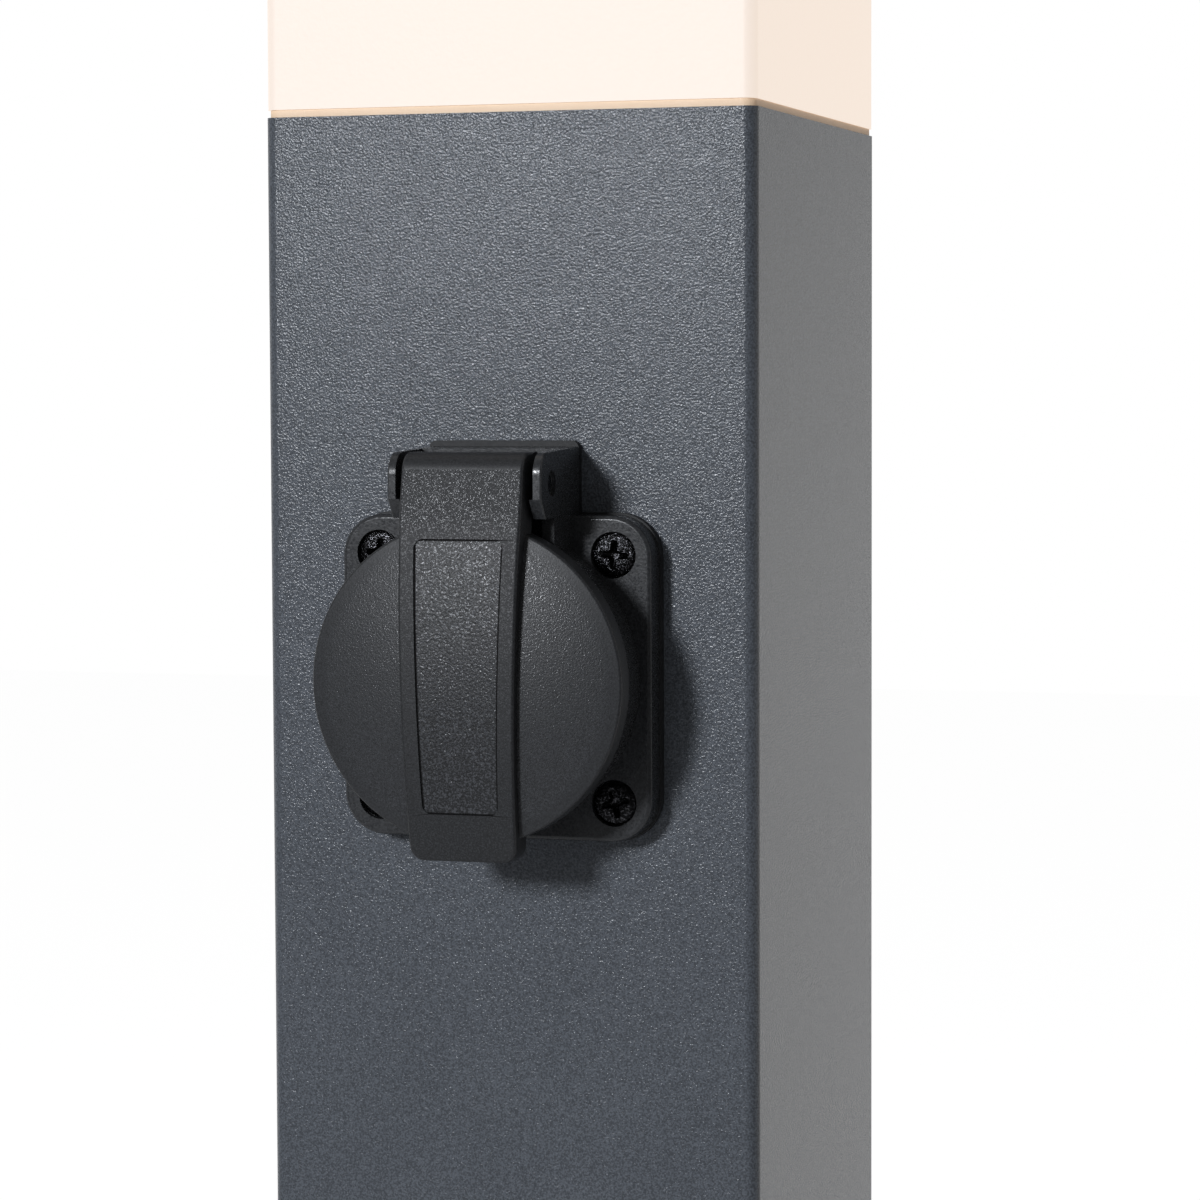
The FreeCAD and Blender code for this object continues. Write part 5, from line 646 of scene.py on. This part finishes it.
# %% Copy the spring
spring = smooth_copy("lid_spring")
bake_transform(spring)

# %% [markdown]
# ## The lid's finishes
# The mould of the lid was eroded in fields. The domed disc has a fine grit that fades at its rim. The
# strap's grit is deepest above its panel, where it comes down from the hinge. The sunk panel has the
# coarsest, which glitters. The roll over the hinge and all the edges are smooth. A fade could be
# painted on the faces, but they are too long for it. So each is worked out from the place on the lid.

# %% Fades of the lid's fields
# Adding this to a place measures it from the height of the socket's middle
TO_SOCKET = (0, 0, -socket_centre.z)
RIM_FADE_START = 21.5 * MM
RIM_FADE_END = 23.8 * MM
RIM_SHARE = 0.25
STRAP_FADE_LOW = 21.0 * MM
STRAP_FADE_HIGH = 26.5 * MM
STRAP_LOW_SHARE = 0.4


def fade_at_rim(tree, place):
    """1 over most of the disc and less at its rim."""
    moved = add(tree, "ShaderNodeMapping", None, {"Vector": place, "Location": TO_SOCKET})
    flat = add(tree, "ShaderNodeVectorMath", {"operation": "MULTIPLY"}, {0: moved.outputs[0], 1: (1, 0, 1)})
    radius = add(tree, "ShaderNodeVectorMath", {"operation": "LENGTH"}, {0: flat.outputs[0]})
    share = add(tree, "ShaderNodeMapRange", {"interpolation_type": "SMOOTHSTEP"},
                {"Value": radius.outputs["Value"], "From Min": RIM_FADE_START, "From Max": RIM_FADE_END,
                 "To Min": 1.0, "To Max": RIM_SHARE})
    return share.outputs["Result"]


def fade_down_strap(tree, place):
    """1 near the hinge and less along the panel."""
    moved = add(tree, "ShaderNodeMapping", None, {"Vector": place, "Location": TO_SOCKET})
    height = add(tree, "ShaderNodeSeparateXYZ", None, {"Vector": moved.outputs[0]})
    share = add(tree, "ShaderNodeMapRange", {"interpolation_type": "SMOOTHSTEP"},
                {"Value": height.outputs["Z"], "From Min": STRAP_FADE_LOW, "From Max": STRAP_FADE_HIGH,
                 "To Min": STRAP_LOW_SHARE, "To Max": 1.0})
    return share.outputs["Result"]


print("the disc's grit fades over its last %.1f mm" % ((RIM_FADE_END - RIM_FADE_START) / MM))

# %% [markdown]
# ## The step round the lid's panel
# The panel is sunk into the strap. Its step is too low to see as a wall, but the corner at its foot lies
# in shadow, which shows as a thin dark line all round. A render as small as the picture loses a shadow
# thinner than a pixel, so the material draws it. The panel's sides lean in towards the bottom, so their
# distance is taken from a half width that changes with the height. The material takes the smallest
# distance to the four sides and darkens the last bit.

# %% Shade at the panel's step
PANEL_TOP = 22.0 * MM
PANEL_BOTTOM = -19.5 * MM
PANEL_HALF_TOP = 7.1 * MM
PANEL_HALF_BOTTOM = 6.0 * MM
STEP_SHADE = 0.4 * MM
STEP_DARK = 0.05


def shade_at_step(tree, place):
    """1 over most of the panel and darker at its four sides."""
    moved = add(tree, "ShaderNodeMapping", None, {"Vector": place, "Location": TO_SOCKET})
    apart = add(tree, "ShaderNodeSeparateXYZ", None, {"Vector": moved.outputs[0]})
    half = add(tree, "ShaderNodeMapRange", None,
               {"Value": apart.outputs["Z"], "From Min": PANEL_BOTTOM, "From Max": PANEL_TOP,
                "To Min": PANEL_HALF_BOTTOM, "To Max": PANEL_HALF_TOP})
    sideways = add(tree, "ShaderNodeMath", {"operation": "ABSOLUTE"}, {0: apart.outputs["X"]})
    to_side = add(tree, "ShaderNodeMath", {"operation": "SUBTRACT"},
                  {0: half.outputs["Result"], 1: sideways.outputs[0]})
    to_top = add(tree, "ShaderNodeMath", {"operation": "SUBTRACT"}, {0: PANEL_TOP, 1: apart.outputs["Z"]})
    to_bottom = add(tree, "ShaderNodeMath", {"operation": "SUBTRACT"},
                    {0: apart.outputs["Z"], 1: PANEL_BOTTOM})
    to_end = add(tree, "ShaderNodeMath", {"operation": "MINIMUM"},
                 {0: to_top.outputs[0], 1: to_bottom.outputs[0]})
    nearest = add(tree, "ShaderNodeMath", {"operation": "MINIMUM"},
                  {0: to_end.outputs[0], 1: to_side.outputs[0]})
    shade = add(tree, "ShaderNodeMapRange", {"interpolation_type": "SMOOTHSTEP"},
                {"Value": nearest.outputs[0], "From Min": 0.5 * STEP_SHADE, "From Max": STEP_SHADE,
                 "To Min": STEP_DARK, "To Max": 1.0})
    return shade.outputs["Result"]


print("panel of %.1f mm by %.1f mm" % (2 * PANEL_HALF_TOP / MM, (PANEL_TOP - PANEL_BOTTOM) / MM))

# %% [markdown]
# ## The lid's four fields
# The fields meet at real edges of the lid. One material with masks could hold all four, but its masks
# would have to follow every edge. So each field has a material of its own, and each face of the mesh
# takes one of the four from its place. A face that looks sideways is part of an edge, which is smooth.

# %% Finishes of the lid's four fields
# Each field sets how much painted glint its flat tops get
disc_finish = make_eroded_plastic("eroded_polyamide_of_the_disc", "#2a2b2d", grit=0.29, depth=0.064,
                                  roughness=0.42, painted_glint=0.34, fade=fade_at_rim)
strap_finish = make_eroded_plastic("eroded_polyamide_of_the_strap", "#1f2022", grit=0.3, depth=0.095,
                                   roughness=0.55, painted_glint=0.42, fade=fade_down_strap)
panel_finish = make_eroded_plastic("coarse_eroded_polyamide", "#1e1f21", grit=0.4, depth=0.1,
                                   roughness=0.42, painted_glint=0.6, shade=shade_at_step)
smooth_finish = make_eroded_plastic("smooth_polyamide", "#27282a", grit=0.3, depth=0.01,
                                    roughness=0.5, polish=0.44)
lid_finishes = (disc_finish, strap_finish, panel_finish, smooth_finish)
print("%d finishes for the lid" % len(lid_finishes))

# %% Fields of the lid
FINE, STRAP, PANEL, SMOOTH = range(4)
PANEL_MARGIN = 0.1 * MM
STRAP_HALF_TOP = 9.65 * MM
STRAP_HALF_BOTTOM = 8.44 * MM
STRAP_BOTTOM = -26.7 * MM
STRAP_TOP = 25.5 * MM
ROLL_START = 31.7 * MM
# The y of a face's normal above which the face belongs to an edge and not to the front
LOOKS_SIDEWAYS = -0.8
lid = dressed["socket_lid"]
lid.data.materials.clear()
for finish in lid_finishes:
    lid.data.materials.append(finish)


def between_lines(value, low, high, at_low, at_high):
    """The straight line from at_low to at_high, read at a value between low and high."""
    share = (value - low) / (high - low)
    return at_low + (at_high - at_low) * share


def field_of(face):
    """The field that a face of the lid belongs to."""
    place = face.center - socket_centre
    rise_here = place.z
    if rise_here > ROLL_START or face.normal.y > LOOKS_SIDEWAYS:
        return SMOOTH
    panel_half = between_lines(rise_here, PANEL_BOTTOM, PANEL_TOP, PANEL_HALF_BOTTOM, PANEL_HALF_TOP)
    in_height = PANEL_BOTTOM - PANEL_MARGIN < rise_here < PANEL_TOP + PANEL_MARGIN
    if in_height and abs(place.x) < panel_half + PANEL_MARGIN:
        return PANEL
    strap_half = between_lines(rise_here, STRAP_BOTTOM, STRAP_TOP, STRAP_HALF_BOTTOM, STRAP_HALF_TOP)
    if abs(place.x) < strap_half or rise_here > STRAP_TOP:
        return STRAP
    return FINE


counts = [0, 0, 0, 0]
for face in lid.data.polygons:
    face.material_index = field_of(face)
    counts[face.material_index] += 1
print("lid faces: %d on the disc, %d on the strap, %d in the panel, %d smooth" % tuple(counts))

# %% [markdown]
# ## Screws with a cross
# The flange's four screws are black pan head screws with a cross recess, and four countersunk ones
# hold the cap. In the model they are plain, because a cross would only add small faces to eight
# screws. Here one screw is made ring by ring, with the recess pressed into its head. Geometry Nodes
# then set four of them on the corners of a rectangle, each turned by chance between two angles. The
# flange's screws were all stopped with their cross nearly upright.

# %% One screw
SCREW_SHARP = math.radians(38)
SCREW_SEGMENTS = 96
SCREW_STEPS = 34
# Shares of the head's radius and height
RECESS_REACH = 0.68
RECESS_DEPTH = 0.72
# Shares of the cross's reach
ARM_HALF_WIDTH = 0.19
ARM_TAPER = 0.05
ARM_WALL = 0.10
MIDDLE_RADIUS = 0.42
MIDDLE_WALL = 0.12


def recess_depth(radius, angle, reach, deepest):
    """How deep the cross is at a point of the head."""
    quarter = (angle + math.pi / 4) % (math.pi / 2) - math.pi / 4
    along = radius * math.cos(quarter)
    beside = abs(radius * math.sin(quarter))
    if along >= reach:
        return 0.0
    half_width = ARM_HALF_WIDTH * reach + ARM_TAPER * reach * (1 - along / reach)
    wall = min(max((half_width - beside) / (ARM_WALL * reach), 0.0), 1.0)
    middle = min(max((MIDDLE_RADIUS * reach - radius) / (MIDDLE_WALL * reach), 0.0), 1.0)
    slope = 1 - (along / reach) ** 2
    return deepest * slope * max(wall, middle)


def screw_rings(head_radius, head_height, shank_radius, shank_length, dome, countersunk):
    """The screw's rings from the middle of the head to the shank's end: radius, height, on the top."""
    rings = []
    for step in range(1, SCREW_STEPS + 1):
        radius = head_radius * step / SCREW_STEPS
        rings.append((radius, head_height - dome * (step / SCREW_STEPS) ** 4, True))
    if not countersunk:
        rings.append((head_radius, 0.0, False))
    rings.append((shank_radius, 0.0, False))
    rings.append((shank_radius, -shank_length, False))
    return rings


def ring_faces(ring_count, last_point):
    """The faces between the rings, with a fan of triangles at each end."""
    faces = []
    for segment in range(SCREW_SEGMENTS):
        following = (segment + 1) % SCREW_SEGMENTS
        faces.append((0, 1 + segment, 1 + following))
        for ring in range(ring_count - 1):
            inner = 1 + ring * SCREW_SEGMENTS
            outer = inner + SCREW_SEGMENTS
            faces.append((inner + segment, outer + segment, outer + following, inner + following))
        last = 1 + (ring_count - 1) * SCREW_SEGMENTS
        faces.append((last + segment, last_point, last + following))
    return faces


def make_screw(name, head_radius, head_height, shank_radius, shank_length, dome, countersunk):
    """A screw whose head's underside lies at z = 0, as a closed mesh."""
    reach = head_radius * RECESS_REACH
    deepest = head_height * RECESS_DEPTH
    rings = screw_rings(head_radius, head_height, shank_radius, shank_length, dome, countersunk)
    points = [(0, 0, head_height - recess_depth(0, 0, reach, deepest))]
    for radius, height, on_top in rings:
        for segment in range(SCREW_SEGMENTS):
            angle = 2 * math.pi * segment / SCREW_SEGMENTS
            depth = recess_depth(radius, angle, reach, deepest) if on_top else 0
            points.append((radius * math.cos(angle), radius * math.sin(angle), height - depth))
    points.append((0, 0, -shank_length))
    mesh = bpy.data.meshes.new(name)
    mesh.from_pydata(points, [], ring_faces(len(rings), len(points) - 1))
    shape = bmesh.new()
    shape.from_mesh(mesh)
    bmesh.ops.recalc_face_normals(shape, faces=shape.faces)
    for edge in shape.edges:
        edge.smooth = edge.calc_face_angle(0) < SCREW_SHARP
    for face in shape.faces:
        face.smooth = True
    shape.to_mesh(mesh)
    shape.free()
    return mesh


print("a screw's head has %d rings of %d points" % (SCREW_STEPS, SCREW_SEGMENTS))

# %% Four screws on a rectangle


def build_screw_grid():
    """A tree that sets its input on four corners, then turns and places the group."""
    group = bpy.data.node_groups.new("screws_on_corners", "GeometryNodeTree")
    for name, kind in (("Screw", "Geometry"), ("Width", "Float"), ("Height", "Float"), ("Place", "Vector"),
                       ("Tilt", "Float"), ("Least Turn", "Float"), ("Most Turn", "Float"), ("Seed", "Int"),
                       ("Finish", "Material")):
        group.interface.new_socket(name, in_out="INPUT", socket_type="NodeSocket" + kind)
    group.interface.new_socket("Screws", in_out="OUTPUT", socket_type="NodeSocketGeometry")
    given = add(group, "NodeGroupInput").outputs
    corners = add(group, "GeometryNodeMeshGrid", None,
                  {"Size X": given["Width"], "Size Y": given["Height"], "Vertices X": 2, "Vertices Y": 2})
    chance = add(group, "FunctionNodeRandomValue", {"data_type": "FLOAT"},
                 {"Min": given["Least Turn"], "Max": given["Most Turn"], "Seed": given["Seed"]})
    angle = add(group, "ShaderNodeCombineXYZ", None, {"Z": chance.outputs["Value"]})
    placed = add(group, "GeometryNodeInstanceOnPoints", None,
                 {"Points": corners.outputs["Mesh"], "Instance": given["Screw"],
                  "Rotation": angle.outputs[0]})
    tilt = add(group, "ShaderNodeCombineXYZ", None, {"X": given["Tilt"]})
    real = add(group, "GeometryNodeRealizeInstances", None, {"Geometry": placed.outputs[0]})
    moved = add(group, "GeometryNodeTransform", None,
                {"Geometry": real.outputs[0], "Translation": given["Place"], "Rotation": tilt.outputs[0]})
    painted = add(group, "GeometryNodeSetMaterial", None,
                  {"Geometry": moved.outputs[0], "Material": given["Finish"]})
    add(group, "NodeGroupOutput", None, {"Screws": painted.outputs[0]})
    return group


screw_grid = build_screw_grid()
print("%d nodes set a screw on four corners" % len(screw_grid.nodes))


def set_screws(name, mesh, finish, stands_for, **inputs):
    """Runs the tree on one screw and keeps the four as a plain mesh on the post."""
    piece = bpy.data.objects.new(name, mesh)
    scene.collection.objects.link(piece)
    modifier = piece.modifiers.new("screws", "NODES")
    modifier.node_group = screw_grid
    identifier = {item.name: item.identifier for item in screw_grid.interface.items_tree
                  if item.in_out == "INPUT"}
    for key, value in inputs.items():
        modifier[identifier[key.replace("_", " ")]] = value
    modifier[identifier["Finish"]] = finishes[finish]
    piece.data = bpy.data.meshes.new_from_object(piece.evaluated_get(bpy.context.evaluated_depsgraph_get()))
    piece.modifiers.clear()
    piece.data.materials.clear()
    piece.data.materials.append(finishes[finish])
    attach(piece, "post")
    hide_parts(stands_for)
    return piece


# %% Flange screws and cap screws
flange_low, flange_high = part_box("socket_screws")
HEAD_RADIUS = 3.35 * MM
HEAD_HEIGHT = 1.8 * MM
HEAD_DOME = 0.45 * MM
FLANGE_SHANK = 1.9 * MM
pitch = flange_high.x - flange_low.x - 2 * HEAD_RADIUS
head_seat = flange_low.y + HEAD_HEIGHT
flange_screw = make_screw("flange_screw", HEAD_RADIUS, HEAD_HEIGHT, FLANGE_SHANK,
                          flange_high.y - head_seat, dome=HEAD_DOME, countersunk=False)
set_screws("flange_screws", flange_screw, "black_steel", "socket_screws", Width=pitch, Height=pitch,
           Place=(0.0, head_seat, socket_centre.z), Tilt=math.pi / 2,
           Least_Turn=math.radians(-8), Most_Turn=math.radians(18), Seed=4)

tie_low, tie_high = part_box("tie_screws")
TIE_RADIUS = 3.75 * MM
TIE_SHANK = 1.95 * MM
tie_head = TIE_RADIUS - TIE_SHANK
tie_pitch = tie_high.x - tie_low.x - 2 * TIE_RADIUS
tie_seat = tie_high.z - tie_head
cap_screw = make_screw("cap_screw", TIE_RADIUS, tie_head, TIE_SHANK,
                       tie_seat - tie_low.z, dome=0.0, countersunk=True)
set_screws("cap_screws", cap_screw, "stainless_steel", "tie_screws", Width=tie_pitch, Height=tie_pitch,
           Place=(0.0, 0.0, tie_seat), Tilt=0.0, Least_Turn=0.0, Most_Turn=math.radians(90), Seed=7)
print("flange screws %.1f mm apart, cap screws %.1f mm apart" % (pitch / MM, tie_pitch / MM))
